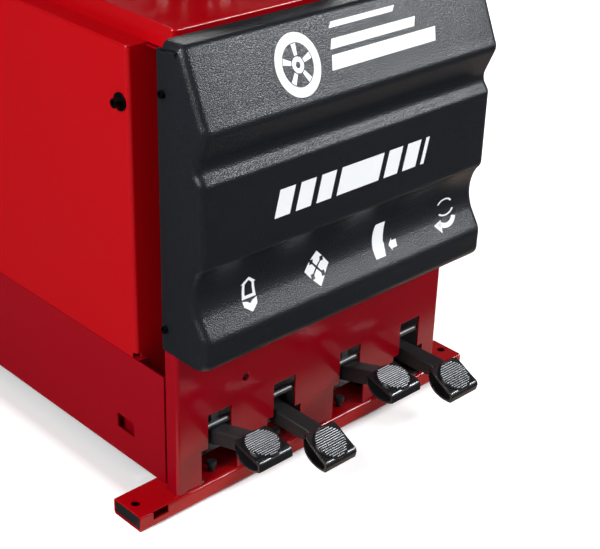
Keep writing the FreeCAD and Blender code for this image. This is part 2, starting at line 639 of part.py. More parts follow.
# --------------------------------------------------------------- front cover
def cover_outline(shift_y, shift_z, rear_y, low_z, x):
    """The cover's side outline: slanted panel, ridge, groove, upright face, hollow and chin.

    Its points are given from the front panel's face and the cover's lower edge."""
    def at(ahead, height):
        return Vec(x, PANEL_FRONT_Y - ahead + shift_y, COVER_BOTTOM_Z + height + shift_z)

    def line(a, b):
        return Part.LineSegment(a, b).toShape()

    def arc(a, through, b):
        return Part.Arc(a, through, b).toShape()

    top_rear = Vec(x, rear_y, COVER_TOP_Z + shift_z)
    chin = at(63, 0)
    edges = [
        line(top_rear, at(18, COVER_HEIGHT)),
        arc(at(18, COVER_HEIGHT), at(23, 446), at(26.5, 441.5)),
        line(at(26.5, 441.5), at(66.5, 353)),
        arc(at(66.5, 353), at(69.8, 342), at(67.6, 334.5)),
        line(at(67.6, 334.5), at(53.6, 302)),
        arc(at(53.6, 302), at(52.2, 292.5), at(54.6, 283.8)),
        line(at(54.6, 283.8), at(60.8, 276.2)),
        arc(at(60.8, 276.2), at(62.6, 272.8), at(63.2, 267)),
        line(at(63.2, 267), at(63.6, 158)),
        arc(at(63.6, 158), at(62, 152), at(57.5, 146.5)),
        arc(at(57.5, 146.5), at(45.6, 112), at(52.6, 75)),
        line(at(52.6, 75), at(66.6, 53)),
        arc(at(66.6, 53), at(70.6, 45), at(71.4, 36)),
        line(at(71.4, 36), at(71.2, 16)),
        arc(at(71.2, 16), at(69, 5.5), chin),
    ]
    low_front = Vec(x, chin.y, low_z)
    if low_z < chin.z - 1e-6:
        edges.append(line(chin, low_front))
    low_rear = Vec(x, rear_y, low_z)
    edges.append(line(low_front, low_rear))
    edges.append(line(low_rear, top_rear))
    return Part.Face(Part.Wire(edges))


def front_cover():
    half = HALF_COVER
    outer = cover_outline(0, 0, COVER_SIDE_REAR_Y, COVER_BOTTOM_Z, -half).extrude(Vec(2 * half, 0, 0))
    below = COVER_BOTTOM_Z - 2 * COVER_WALL
    inner = cover_outline(COVER_WALL, -COVER_WALL, COVER_SIDE_REAR_Y + 1, below, -half + COVER_WALL)
    hollow = inner.extrude(Vec(2 * (half - COVER_WALL), 0, 0))
    top_gap = box(-half + COVER_WALL, half - COVER_WALL, COVER_LIP_REAR_Y, COVER_SIDE_REAR_Y + 1,
                  COVER_TOP_Z - COVER_WALL - 1, COVER_TOP_Z + 1)
    return cut(outer, [hollow, top_gap])


def cover_screw(side, from_edge, height):
    """Cap screw head on the cover's side wall, near its rear edge."""
    y = COVER_SIDE_REAR_Y - from_edge
    z = COVER_BOTTOM_Z + height
    wall_x = side * HALF_COVER
    tip_x = wall_x + side * COVER_SCREW_HEAD
    floor_x = tip_x - side * COVER_SCREW_SOCKET
    head = rod_x(min(wall_x, tip_x), max(wall_x, tip_x), y, z, COVER_SCREW_R)
    socket = rod_x(min(tip_x, floor_x), max(tip_x, floor_x), y, z, COVER_SCREW_R / 2)
    return head.cut(socket)


save("front_cover", front_cover())
save("cover_screws", [cover_screw(side, *place) for side in (-1, 1) for place in COVER_SCREW_PLACES])


def side_bolt(side, y):
    """Washer and socket-head bolt on the cabinet side, as two solids."""
    z = SIDE_BOLT_Z
    skin = side * HALF_BODY
    face = skin + side * SIDE_WASHER_THICKNESS
    tip = face + side * SIDE_BOLT_HEAD
    socket_floor = tip - side * SIDE_BOLT_HEAD / 2
    washer = rod_x(min(skin, face), max(skin, face), y, z, SIDE_WASHER_R)
    head = rod_x(min(face, tip), max(face, tip), y, z, SIDE_BOLT_HEAD_R)
    socket = rod_x(min(tip, socket_floor), max(tip, socket_floor), y, z, SIDE_BOLT_HEAD_R / 2)
    return [washer, head.cut(socket)]


save("side_panel_bolts", [solid for side in (-1, 1) for y in SIDE_BOLTS_Y for solid in side_bolt(side, y)])

# -------------------------------------------------------------------- pedals
def pedal_bracket(x):
    """Upright on the front rail that carries the pivot shaft and the stop bar."""
    half = BRACKET_THICKNESS / 2
    front_y = PANEL_BACK_Y + BODY_GAP
    outline = [
        (front_y, RAIL_HEIGHT), (PIVOT_Y + 20, RAIL_HEIGHT), (PIVOT_Y + 20, PIVOT_Z + 10),
        (PIVOT_Y + 8, PIVOT_Z + 20), (STOP_BAR_Y + 14, STOP_BAR_Z + 12), (front_y, STOP_BAR_Z + 12),
    ]
    plate = prism_along_x(outline, x - half, x + half)
    inward = -BRACKET_FOOT if x > PEDAL_X[-1] else BRACKET_FOOT
    foot = box(min(x - half, x + inward), max(x + half, x + inward), front_y, -RAIL_CENTRE_Y + RAIL_DEPTH / 2,
               RAIL_HEIGHT, RAIL_HEIGHT + BRACKET_THICKNESS)
    shaft_hole = rod_x(x - BRACKET_FOOT, x + BRACKET_FOOT, PIVOT_Y, PIVOT_Z, PIVOT_SHAFT_R + RUNNING_CLEARANCE)
    bar_hole = rod_x(x - BRACKET_FOOT, x + BRACKET_FOOT, STOP_BAR_Y, STOP_BAR_Z, STOP_BAR_R + RUNNING_CLEARANCE)
    return cut(fuse([plate, foot]), [shaft_hole, bar_hole])


def stop_bar():
    """Round bar that the raised levers stop against, with two hanger straps."""
    bar = rod_x(-SHAFT_HALF, SHAFT_HALF, STOP_BAR_Y, STOP_BAR_Z, STOP_BAR_R)
    pieces = [bar]
    back = STOP_BAR_Y + STOP_BAR_R + 2.5
    top = STOP_BAR_Z + STRAP_HEIGHT
    for x in (PEDAL_X[0], PEDAL_X[2]):
        left = x - STRAP_WIDTH / 2
        right = x + STRAP_WIDTH / 2
        pieces.append(box(left, right, back - STRAP_THICKNESS, back, STOP_BAR_Z - STOP_BAR_R, top))
        pieces.append(box(left, right, PANEL_BACK_Y, back, top - STRAP_THICKNESS, top))
    return fuse(pieces)


def rubber_stop(x):
    y = -RAIL_CENTRE_Y - STOP_AHEAD
    head_z = RAIL_HEIGHT + STOP_STEM
    stem = rod_z(RAIL_HEIGHT, head_z, x, y, STOP_STEM_R)
    head = rod_z(head_z, head_z + STOP_HEAD, x, y, STOP_HEAD_R)
    top_edges = [e for e in head.Edges if e.CenterOfMass.z > head_z + STOP_HEAD - 0.1]
    head = head.makeFillet(STOP_HEAD / 4, top_edges)
    return fuse([stem, head])


def torsion_spring(pedal):
    """Grooved sleeve for the return spring on the pivot shaft, with one straight leg down over the rail.

    It sits beside its lever, on the side away from the nearer end bracket."""
    wire = SPRING_WIRE_R
    pitch = 2.4 * wire
    length = SPRING_TURNS * pitch
    inner_r = PIVOT_SHAFT_R + SPRING_CLEARANCE
    beside = LEVER_WIDTH / 2 + SPRING_GAP
    x = PEDAL_X[pedal] + beside
    if PEDAL_X[pedal] > 0:
        x = PEDAL_X[pedal] - beside - length
    pieces = [rod_x(x, x + length, PIVOT_Y, PIVOT_Z, inner_r + wire)]
    for turn in range(SPRING_TURNS):
        x0 = x + turn * pitch
        pieces.append(rod_x(x0, x0 + 2 * wire, PIVOT_Y, PIVOT_Z, inner_r + 2 * wire))
    leg_start = Vec(x + wire, PIVOT_Y - inner_r - 1.25 * wire, PIVOT_Z)
    leg_end = Vec(x + wire, -RAIL_CENTRE_Y + RAIL_DEPTH / 2 - 2 * wire, RAIL_HEIGHT + wire + SPRING_CLEARANCE)
    run = leg_end - leg_start
    pieces.append(Part.makeCylinder(wire, run.Length, leg_start, run))
    return fuse(pieces).cut(rod_x(x - 1, x + length + 1, PIVOT_Y, PIVOT_Z, inner_r))


def lever_in_place(shape, pedal):
    """Turn a level pedal piece about the pivot to the height at which it rests."""
    placed = shape.copy()
    placed.rotate(Vec(0, PIVOT_Y, PIVOT_Z), Vec(1, 0, 0), -PEDAL_RAISED_DEG[pedal])
    return placed


def pedal_lever(pedal):
    x = PEDAL_X[pedal]
    half = LEVER_WIDTH / 2
    low = PIVOT_Z - LEVER_BELOW_PIVOT
    high = PIVOT_Z + LEVER_ABOVE_PIVOT
    front_y = PIVOT_Y - LEVER_REACH
    arm = box(x - half, x + half, front_y, PIVOT_Y + LEVER_TAIL, low, high)
    arm = round_edges(arm, 4.0, lambda a, b: along_y(a, b))
    hub = rod_x(x - half, x + half, PIVOT_Y, PIVOT_Z, LEVER_HUB_R)
    bore = rod_x(x - 50, x + 50, PIVOT_Y, PIVOT_Z, PIVOT_SHAFT_R + RUNNING_CLEARANCE)
    return lever_in_place(cut(fuse([arm, hub]), [bore]), pedal)


def pad_point(x, share, height):
    """Place on a level pad: share of its length from the back, height over its rear end."""
    back_y = PIVOT_Y - LEVER_REACH + PAD_LEVER_LAP
    return Vec(x, back_y - PAD_LENGTH * share, PIVOT_Z + PAD_ABOVE_PIVOT + height)


def pad_outline(x, inset):
    """Leaf-shaped side outline of the hollow pad, drawn level; inset shrinks it by the wall."""
    wall = PAD_WALL * inset
    back = pad_point(x, inset * 0.10, 0)
    rise = pad_point(x, PAD_PEAK[0] * 0.4 + inset * 0.05, PAD_PEAK[1] * 0.72 - wall)
    peak = pad_point(x, PAD_PEAK[0], PAD_PEAK[1] - wall)
    middle = pad_point(x, PAD_MIDDLE[0], PAD_MIDDLE[1] - wall * 1.1)
    front_top = pad_point(x, 1.0 - inset * 0.07, -PAD_LIP_DROP - wall * 0.8)
    front_low = pad_point(x, 0.955 - inset * 0.06, wall - PAD_LOW_DROP)
    low = pad_point(x, 0.62, wall - PAD_LOW_DROP)
    edges = [
        Part.Arc(back, rise, peak).toShape(),
        Part.Arc(peak, middle, front_top).toShape(),
        Part.LineSegment(front_top, front_low).toShape(),
        Part.Arc(front_low, low, back).toShape(),
    ]
    return Part.Face(Part.Wire(edges))


def grip_disc(x):
    """Round grip lying on the pad's slope and facing the foot."""
    slope = math.radians(GRIP_SLOPE_DEG)
    normal = Vec(0, -math.sin(slope), math.cos(slope))
    base = pad_point(x, PAD_MIDDLE[0], PAD_MIDDLE[1]) - normal
    return Part.makeCylinder(GRIP_DISC_R, GRIP_DISC_HEIGHT + 1, base, normal)


def pedal_pad(pedal):
    """Hollow loop open at both sides, with the round grip on its slope."""
    x = PEDAL_X[pedal]
    half = PAD_WIDTH / 2
    outer = pad_outline(x - half, 0).extrude(Vec(PAD_WIDTH, 0, 0))
    hollow = pad_outline(x - half - 1, 1).extrude(Vec(PAD_WIDTH + 2, 0, 0))
    lever_space = box(x - LEVER_WIDTH / 2, x + LEVER_WIDTH / 2, PIVOT_Y - LEVER_REACH, PIVOT_Y,
                      PIVOT_Z - LEVER_BELOW_PIVOT, PIVOT_Z + LEVER_ABOVE_PIVOT)
    return lever_in_place(cut(outer, [hollow, lever_space]).fuse(grip_disc(x)), pedal)


save("pedal_brackets", [pedal_bracket(x) for x in BRACKET_X])
save("pedal_shaft", rod_x(-SHAFT_HALF, SHAFT_HALF, PIVOT_Y, PIVOT_Z, PIVOT_SHAFT_R))
save("stop_bar", stop_bar())
save("rubber_stops", [rubber_stop(x) for x in PEDAL_X])
save("pedal_springs", [torsion_spring(index) for index in range(len(PEDAL_X))])
for index in range(len(PEDAL_X)):
    save("pedal_lever_%d" % (index + 1), pedal_lever(index))
    save("pedal_pad_%d" % (index + 1), pedal_pad(index))


def pedal_valve(x):
    """Upright spool valve above a lever's tail, on a tab from the inner wall."""
    half = VALVE_SIZE[0] / 2
    back = VALVE_Y + VALVE_SIZE[1] / 2
    top = VALVE_LOW_Z + VALVE_SIZE[2]
    body = box(x - half, x + half, VALVE_Y - VALVE_SIZE[1] / 2, back, VALVE_LOW_Z, top)
    body = round_edges(body, 3.0, lambda a, b: along_z(a, b))
    ports = []
    for step in (0.3, 0.7):
        port_z = VALVE_LOW_Z + VALVE_SIZE[2] * step
        ports.append(rod_y(back, back + VALVE_PORT_OUT, x, port_z, VALVE_PORT_R))
    stem = rod_z(VALVE_LOW_Z - VALVE_STEM_OUT, VALVE_LOW_Z, x, VALVE_Y, VALVE_STEM_R)
    tab = box(x - half, x + half, BOX_FRONT_Y + SHEET, VALVE_Y, top, BOX_BOTTOM_Z + VALVE_TAB_LAP)
    return fuse([body, stem, tab] + ports)


def reversing_switch(x):
    """Rotary switch box above the fourth lever's tail, on its own tab."""
    half = SWITCH_SIZE[0] / 2
    front = VALVE_Y - SWITCH_BEFORE_STEM
    top = VALVE_LOW_Z + SWITCH_SIZE[2]
    body = box(x - half, x + half, front, front + SWITCH_SIZE[1], VALVE_LOW_Z, top)
    body = round_edges(body, 4.0, lambda a, b: along_z(a, b))
    stem = rod_z(VALVE_LOW_Z - VALVE_STEM_OUT, VALVE_LOW_Z, x, VALVE_Y, VALVE_STEM_R)
    tab = box(x - half, x + half, BOX_FRONT_Y + SHEET, VALVE_Y, top, BOX_BOTTOM_Z + VALVE_TAB_LAP)
    return fuse([body, stem, tab])


save("pedal_valves", [pedal_valve(x) for x in PEDAL_X[:3]])
save("reversing_switch", reversing_switch(PEDAL_X[3]))


# ----------------------------------------------------------------- turntable
def turned(shape, quarter):
    placed = shape.copy()
    placed.rotate(Vec(0, TABLE_Y, 0), Vec(0, 0, 1), 90 * quarter)
    return placed


def turntable_plate():
    """Round plate with four radial slots and a pair of guide bars under each slot."""
    plate = rod_z(TABLE_UNDER_Z, TABLE_TOP_Z, 0, TABLE_Y, TABLE_R)
    plate = plate.makeFillet(3, [e for e in plate.Edges if e.CenterOfMass.z > TABLE_TOP_Z - 0.01])
    slots = []
    guides = []
    guide_inner = JAW_SLOT_WIDTH / 2 + JAW_SHOULDER
    for quarter in range(4):
        slot = box(JAW_SLOT_INNER_R, TABLE_R + 5, TABLE_Y - JAW_SLOT_WIDTH / 2, TABLE_Y + JAW_SLOT_WIDTH / 2,
                   TABLE_UNDER_Z - 1, TABLE_TOP_Z + 1)
        slots.append(turned(slot, quarter))
        for side in (-1, 1):
            near = TABLE_Y + side * guide_inner
            far = near + side * GUIDE_WIDTH
            bar = box(JAW_SLOT_INNER_R, TABLE_R - 12, min(near, far), max(near, far),
                      TABLE_UNDER_Z - GUIDE_HEIGHT, TABLE_UNDER_Z)
            guides.append(turned(bar, quarter))
    return cut(fuse([plate] + guides), slots)


def turntable_shaft():
    """Output shaft of the gearbox with the flange that carries the plate."""
    flange_low = TABLE_UNDER_Z - TABLE_FLANGE
    neck_low = RAISED_TOP_Z + TABLE_NECK_ABOVE_DECK
    flange = rod_z(flange_low, TABLE_UNDER_Z, 0, TABLE_Y, JAW_SLOT_INNER_R - 6)
    neck = rod_z(neck_low, flange_low, 0, TABLE_Y, TABLE_NECK_R)
    shaft = rod_z(GEARBOX_TOP_Z - GEARBOX_SIZE[2] + 4, neck_low, 0, TABLE_Y, TABLE_SHAFT_R)
    wheel = rod_z(WORM_Z - WORM_WHEEL_WIDTH / 2, WORM_Z + WORM_WHEEL_WIDTH / 2, 0, TABLE_Y,
                  -WORM_OFFSET_Y - WORM_R - BODY_GAP)
    return fuse([flange, neck, shaft, wheel])


def jaw(quarter):
    """Slide block in the guides, neck through the slot and stepped claw on top."""
    half = JAW_SLOT_WIDTH / 2 - SLIDE_CLEARANCE
    block_half = JAW_SLOT_WIDTH / 2 + JAW_SHOULDER - SLIDE_CLEARANCE
    inner = JAW_REST_R - JAW_LENGTH / 2
    outer = JAW_REST_R + JAW_LENGTH / 2
    plate_low = TABLE_UNDER_Z - SLIDE_CLEARANCE
    plate_high = TABLE_TOP_Z + SLIDE_CLEARANCE
    slide_in = inner + 4
    slide_out = outer - 14
    block = box(slide_in, slide_out, TABLE_Y - block_half, TABLE_Y + block_half,
                plate_low - JAW_BLOCK, plate_low)
    neck = box(slide_in, slide_out, TABLE_Y - half, TABLE_Y + half, plate_low - 1, plate_high + 1)
    base = box(inner, outer, TABLE_Y - JAW_WIDTH / 2, TABLE_Y + JAW_WIDTH / 2,
               plate_high, plate_high + JAW_BASE)
    base = round_edges(base, 6.0, lambda a, b: along_z(a, b))
    claw_points = [
        (inner, plate_high + 8), (inner, plate_high + 20), (inner + 12, plate_high + 26),
        (inner + 16, plate_high + 40), (inner + 6, plate_high + 46), (inner + 10, plate_high + JAW_HEIGHT),
        (inner + 24, plate_high + JAW_HEIGHT), (inner + 44, plate_high + 22), (inner + 60, plate_high + 8),
    ]
    corners = [Vec(x, TABLE_Y - CLAW_WIDTH / 2, z) for x, z in claw_points]
    claw = Part.Face(Part.makePolygon(corners + [corners[0]])).extrude(Vec(0, CLAW_WIDTH, 0))
    return turned(fuse([block, neck, base, claw]), quarter)


save("turntable_plate", turntable_plate())
save("turntable_shaft", turntable_shaft())
for index in range(4):
    save("jaw_%d" % (index + 1), jaw(index))


# --------------------------------------------------------------------- drive
def gearbox_housing():
    """Cast worm gearbox hung under the deck, with its neck up through the raised deck."""
    half_x = GEARBOX_SIZE[0] / 2
    front = WORM_Y - GEARBOX_BEFORE_WORM
    back = front + GEARBOX_SIZE[1]
    low = GEARBOX_TOP_Z - GEARBOX_SIZE[2]
    shell = round_edges(box(-half_x, half_x, front, back, low, GEARBOX_TOP_Z), 14.0, along_z)
    neck = rod_z(GEARBOX_TOP_Z - 2, RAISED_TOP_Z + 12, 0, TABLE_Y, NECK_R)
    wall = GEARBOX_WALL
    cavity = box(-half_x + wall, half_x - wall, front + wall, back - wall, low + wall, GEARBOX_TOP_Z - wall)
    cavity = round_edges(cavity, 6.0, along_z)
    bore = rod_z(low + 3, RAISED_TOP_Z + 20, 0, TABLE_Y, TABLE_SHAFT_R + RUNNING_CLEARANCE)
    worm_bore = rod_x(-half_x + 3, half_x + 1, WORM_Y, WORM_Z, WORM_SHAFT_R + RUNNING_CLEARANCE)
    return cut(fuse([shell, neck]), [cavity, bore, worm_bore])


def motor():
    """Electric motor with cooling fins, terminal box and a plate up to the gearbox."""
    shaft_end = PULLEY_PLANE_X - PULLEY_WIDTH / 2 - 10
    start = shaft_end - MOTOR_LENGTH
    body = rod_x(start, shaft_end, MOTOR_Y, MOTOR_Z, MOTOR_R - MOTOR_FIN_DEPTH + 4)
    pieces = [body]
    for fin in range(MOTOR_FINS):
        half = MOTOR_FIN_THICKNESS / 2
        blade = box(start + MOTOR_FIN_START, shaft_end - MOTOR_FIN_START + 5, MOTOR_Y - half, MOTOR_Y + half,
                    MOTOR_Z + MOTOR_R - MOTOR_FIN_DEPTH, MOTOR_Z + MOTOR_R - 1)
        blade.rotate(Vec(0, MOTOR_Y, MOTOR_Z), Vec(1, 0, 0), 360.0 * fin / MOTOR_FINS)
        pieces.append(blade)
    for x0 in (start, shaft_end - MOTOR_END_CAP):
        pieces.append(rod_x(x0, x0 + MOTOR_END_CAP, MOTOR_Y, MOTOR_Z, MOTOR_R))
    length, out, height = TERMINAL_BOX
    box_x = start + TERMINAL_BOX_START
    pieces.append(box(box_x, box_x + length, MOTOR_Y - MOTOR_R - out, MOTOR_Y, MOTOR_Z - height / 2,
                      MOTOR_Z + height / 2))
    thickness, depth = MOTOR_HANGER
    for x0 in (start + 40, shaft_end - 60):
        pieces.append(box(x0, x0 + thickness, MOTOR_Y - depth / 2, MOTOR_Y + depth / 2,
                          MOTOR_Z + MOTOR_R - 14, GEARBOX_TOP_Z - GEARBOX_SIZE[2]))
    bore = rod_x(shaft_end - 40, shaft_end + 1, MOTOR_Y, MOTOR_Z, MOTOR_SHAFT_R + RUNNING_CLEARANCE)
    return cut(fuse(pieces), [bore])


def grooved_pulley(y, z, r, shaft_r, shaft_x0):
    x0 = PULLEY_PLANE_X - PULLEY_WIDTH / 2
    x1 = PULLEY_PLANE_X + PULLEY_WIDTH / 2
    wheel = rod_x(x0, x1, y, z, r)
    groove = Part.makeTorus(r, BELT_THICKNESS / 2 + BELT_SIDE_ROOM, Vec(PULLEY_PLANE_X, y, z), Vec(1, 0, 0))
    shaft = rod_x(shaft_x0, x1 + 4, y, z, shaft_r)
    return fuse([wheel.cut(groove), shaft])


def drive_belt():
    """Round-section belt held a hair above both pulley grooves."""
    lift = 0.4
    small = MOTOR_PULLEY_R + lift
    large = GEARBOX_PULLEY_R + lift
    span_y = WORM_Y - MOTOR_Y
    span_z = WORM_Z - MOTOR_Z
    distance = math.hypot(span_y, span_z)
    lean = math.asin((large - small) / distance)
    direction = math.atan2(span_z, span_y)

    def on(y, z, r, angle):
        return Vec(PULLEY_PLANE_X, y + r * math.cos(angle), z + r * math.sin(angle))

    left = direction + math.pi / 2 + lean
    right = direction - math.pi / 2 - lean
    edges = [
        Part.LineSegment(on(MOTOR_Y, MOTOR_Z, small, left), on(WORM_Y, WORM_Z, large, left)).toShape(),
        Part.Arc(on(WORM_Y, WORM_Z, large, left), on(WORM_Y, WORM_Z, large, direction),
                 on(WORM_Y, WORM_Z, large, right)).toShape(),
        Part.LineSegment(on(WORM_Y, WORM_Z, large, right), on(MOTOR_Y, MOTOR_Z, small, right)).toShape(),
        Part.Arc(on(MOTOR_Y, MOTOR_Z, small, right), on(MOTOR_Y, MOTOR_Z, small, direction + math.pi),
                 on(MOTOR_Y, MOTOR_Z, small, left)).toShape(),
    ]
    loop = Part.Face(Part.Wire(edges))
    half = BELT_THICKNESS / 2
    outer = loop.makeOffset2D(half).extrude(Vec(BELT_THICKNESS, 0, 0))
    inner = loop.makeOffset2D(-half + lift).extrude(Vec(BELT_THICKNESS, 0, 0))
    band = outer.cut(inner)
    band.translate(Vec(-BELT_THICKNESS / 2, 0, 0))
    return band


save("gearbox_housing", gearbox_housing())
save("motor", motor())
save("motor_pulley", grooved_pulley(MOTOR_Y, MOTOR_Z, MOTOR_PULLEY_R, MOTOR_SHAFT_R,
                                    PULLEY_PLANE_X - PULLEY_WIDTH / 2 - 45))
worm = rod_x(-WORM_LENGTH / 2, WORM_LENGTH / 2, WORM_Y, WORM_Z, WORM_R)
save("gearbox_pulley", fuse([worm, grooved_pulley(WORM_Y, WORM_Z, GEARBOX_PULLEY_R, WORM_SHAFT_R,
                                                  -GEARBOX_SIZE[0] / 2 + 4)]))
save("drive_belt", drive_belt())


# -------------------------------------------------------------------- column
def column_foot():
    """Back plate bolted to the rear of the cabinet with two pivot cheeks."""
    cheek_in = COLUMN_SIDE / 2 + BODY_GAP
    cheek_out = cheek_in + FOOT_PLATE
    low = COLUMN_PIVOT_Z - CHEEK_BELOW_PIVOT
    high = COLUMN_PIVOT_Z + CHEEK_ABOVE_PIVOT
    plate_half = cheek_out + FOOT_PLATE_SIDE
    plate_y = CABINET_REAR_Y + FOOT_PLATE
    behind = COLUMN_PIVOT_Y + CHEEK_BEHIND_PIVOT
    pieces = [box(-plate_half, plate_half, CABINET_REAR_Y, plate_y, low, high + 60)]
    outline = [
        (plate_y - 1, low), (behind - 14, low), (behind, low + 20),
        (behind, high - 25), (behind - 24, high), (plate_y - 1, high + 50),
    ]
    for side in (-1, 1):
        near = side * cheek_in
        far = side * cheek_out
        pieces.append(prism_along_x(outline, min(near, far), max(near, far)))
    pin_hole = rod_x(-100, 100, COLUMN_PIVOT_Y, COLUMN_PIVOT_Z, COLUMN_PIN_R + RUNNING_CLEARANCE)
    return cut(fuse(pieces), [pin_hole])


def column_pin():
    """Pivot pin across the cheeks with a hexagon at each end."""
    reach = COLUMN_SIDE / 2 + BODY_GAP + FOOT_PLATE
    shank = rod_x(-reach, reach, COLUMN_PIVOT_Y, COLUMN_PIVOT_Z, COLUMN_PIN_R)
    head = hexagon_z(COLUMN_NUT_FLATS, 0, 0, 0, COLUMN_NUT)
    head.rotate(Vec(0, 0, 0), Vec(0, 1, 0), 90)
    ends = []
    for x0 in (-reach - COLUMN_NUT, reach):
        end = head.copy()
        end.translate(Vec(x0, COLUMN_PIVOT_Y, COLUMN_PIVOT_Z))
        ends.append(end)
    return fuse([shank] + ends)


def column_post():
    """Square tube with pivot bush, a lug for the tilt rod and the arm sleeve on top."""
    half = COLUMN_SIDE / 2
    tube = square_tube(-half, half, COLUMN_PIVOT_Y - half, COLUMN_PIVOT_Y + half, COLUMN_BOTTOM_Z,
                       COLUMN_TOP_Z, COLUMN_WALL, along_z, COLUMN_CORNER)
    bush = rod_x(-half, half, COLUMN_PIVOT_Y, COLUMN_PIVOT_Z, COLUMN_PIN_R + COLUMN_BUSH_WALL)
    lugs = []
    for side in (-1, 1):
        outline = [
            (COLUMN_PIVOT_Y - 20, COLUMN_BOTTOM_Z + 12), (COLUMN_PIVOT_Y + 40, COLUMN_BOTTOM_Z + 12),
            (TILT_PIN_Y + 16, TILT_PIN_Z - 12), (TILT_PIN_Y + 8, TILT_PIN_Z - 18),
            (TILT_PIN_Y - 8, TILT_PIN_Z - 18), (TILT_PIN_Y - 16, TILT_PIN_Z - 10),
        ]
        near = side * LUG_GAP / 2
        far = side * (LUG_GAP / 2 + LUG_THICKNESS)
        lugs.append(prism_along_x(outline, min(near, far), max(near, far)))
    bridge = box(-half + 2, half - 2, COLUMN_PIVOT_Y - 20, COLUMN_PIVOT_Y + 40, COLUMN_BOTTOM_Z + 2,
                 COLUMN_BOTTOM_Z + 12)
    pin_half = LUG_GAP / 2 + LUG_THICKNESS
    pin = rod_x(-pin_half, pin_half, TILT_PIN_Y, TILT_PIN_Z, TILT_PIN_R)
    cap = box(-half, half, COLUMN_PIVOT_Y - half, COLUMN_PIVOT_Y + half, COLUMN_TOP_Z - 6, COLUMN_TOP_Z)
    sleeve_half = SLEEVE_DEPTH / 2
    sleeve = box(-half - 6, half + 6, COLUMN_PIVOT_Y - sleeve_half, COLUMN_PIVOT_Y + sleeve_half,
                 COLUMN_TOP_Z, COLUMN_TOP_Z + SLEEVE_HEIGHT)
    sleeve = round_edges(sleeve, 10.0, along_y)
    passage_half = ARM_SIDE / 2 + SLIDE_CLEARANCE
    passage = box(-passage_half, passage_half, COLUMN_PIVOT_Y - 200, COLUMN_PIVOT_Y + 200,
                  ARM_AXIS_Z - passage_half, ARM_AXIS_Z + passage_half)
    bore = rod_x(-100, 100, COLUMN_PIVOT_Y, COLUMN_PIVOT_Z, COLUMN_PIN_R + RUNNING_CLEARANCE)
    return cut(fuse([tube, bush, bridge, pin, cap, sleeve] + lugs), [passage, bore])


def tilt_cylinder():
    """Barrel fixed inside the cabinet behind the rear panel, open at its rod end."""
    rear = CABINET_REAR_Y - SHEET
    front = rear - TILT_BARREL_LENGTH
    barrel = rod_y(front, rear, 0, TILT_PIN_Z, TILT_BARREL_R)
    chamber = rod_y(front + 10, rear - 12, 0, TILT_PIN_Z, TILT_BARREL_R - TILT_BARREL_WALL)
    bore = rod_y(rear - 20, rear + 1, 0, TILT_PIN_Z, TILT_ROD_R + RUNNING_CLEARANCE)
    flange = box(-50, 50, rear - 10, rear, TILT_PIN_Z - TILT_BARREL_R, TILT_PIN_Z + TILT_BARREL_R)
    return cut(fuse([barrel, flange]), [chamber, bore])


def tilt_rod():
    """Piston, rod and the eye that pushes the post's lug pin."""
    rear = CABINET_REAR_Y - SHEET
    piston = rod_y(rear - 24, rear - 14, 0, TILT_PIN_Z,
                   TILT_BARREL_R - TILT_BARREL_WALL - TILT_PISTON_CLEARANCE)
    rod = rod_y(rear - 24, TILT_PIN_Y - 10, 0, TILT_PIN_Z, TILT_ROD_R)
    half = TILT_EYE_WIDTH / 2
    hole_r = TILT_PIN_R + TILT_EYE_CLEARANCE
    eye = rod_x(-half, half, TILT_PIN_Y, TILT_PIN_Z, hole_r + TILT_EYE_WALL)
    hole = rod_x(-half - 1, half + 1, TILT_PIN_Y, TILT_PIN_Z, hole_r)
    return cut(fuse([piston, rod, eye]), [hole])


def horizontal_arm():
    """Square tube that slides in the sleeve, with the block that holds the hexagon shaft."""
    half = ARM_SIDE / 2
    tube = square_tube(-half, half, ARM_FRONT_Y + HEAD_SIDE / 2 - 2, ARM_REAR_Y, ARM_AXIS_Z - half,
                       ARM_AXIS_Z + half, ARM_WALL, along_y, 5.0)
    head_half = HEAD_SIDE / 2
    head = box(-head_half, head_half, ARM_FRONT_Y - head_half, ARM_FRONT_Y + head_half,
               ARM_AXIS_Z - SLEEVE_HEIGHT / 2, ARM_AXIS_Z + SLEEVE_HEIGHT / 2)
    head = round_edges(head, 12.0, along_z)
    bore = hexagon_z(HEX_FLATS + 2 * SLIDE_CLEARANCE, 0, ARM_FRONT_Y, ARM_AXIS_Z - 100, ARM_AXIS_Z + 100)
    end_plate = box(-half, half, ARM_REAR_Y - 6, ARM_REAR_Y, ARM_AXIS_Z - half, ARM_AXIS_Z + half)
    return cut(fuse([tube, head, end_plate]), [bore])


def hex_shaft():
    """Hexagon tool shaft with a round cap on top."""
    shaft = hexagon_z(HEX_FLATS, 0, ARM_FRONT_Y, HEX_BOTTOM_Z, HEX_TOP_Z)
    cap = rod_z(HEX_TOP_Z, HEX_TOP_Z + HEX_CAP, 0, ARM_FRONT_Y, HEX_FLATS * 0.75)
    cap = cap.makeFillet(6, [e for e in cap.Edges if e.CenterOfMass.z > HEX_TOP_Z + HEX_CAP - 0.1])
    return fuse([shaft, cap])


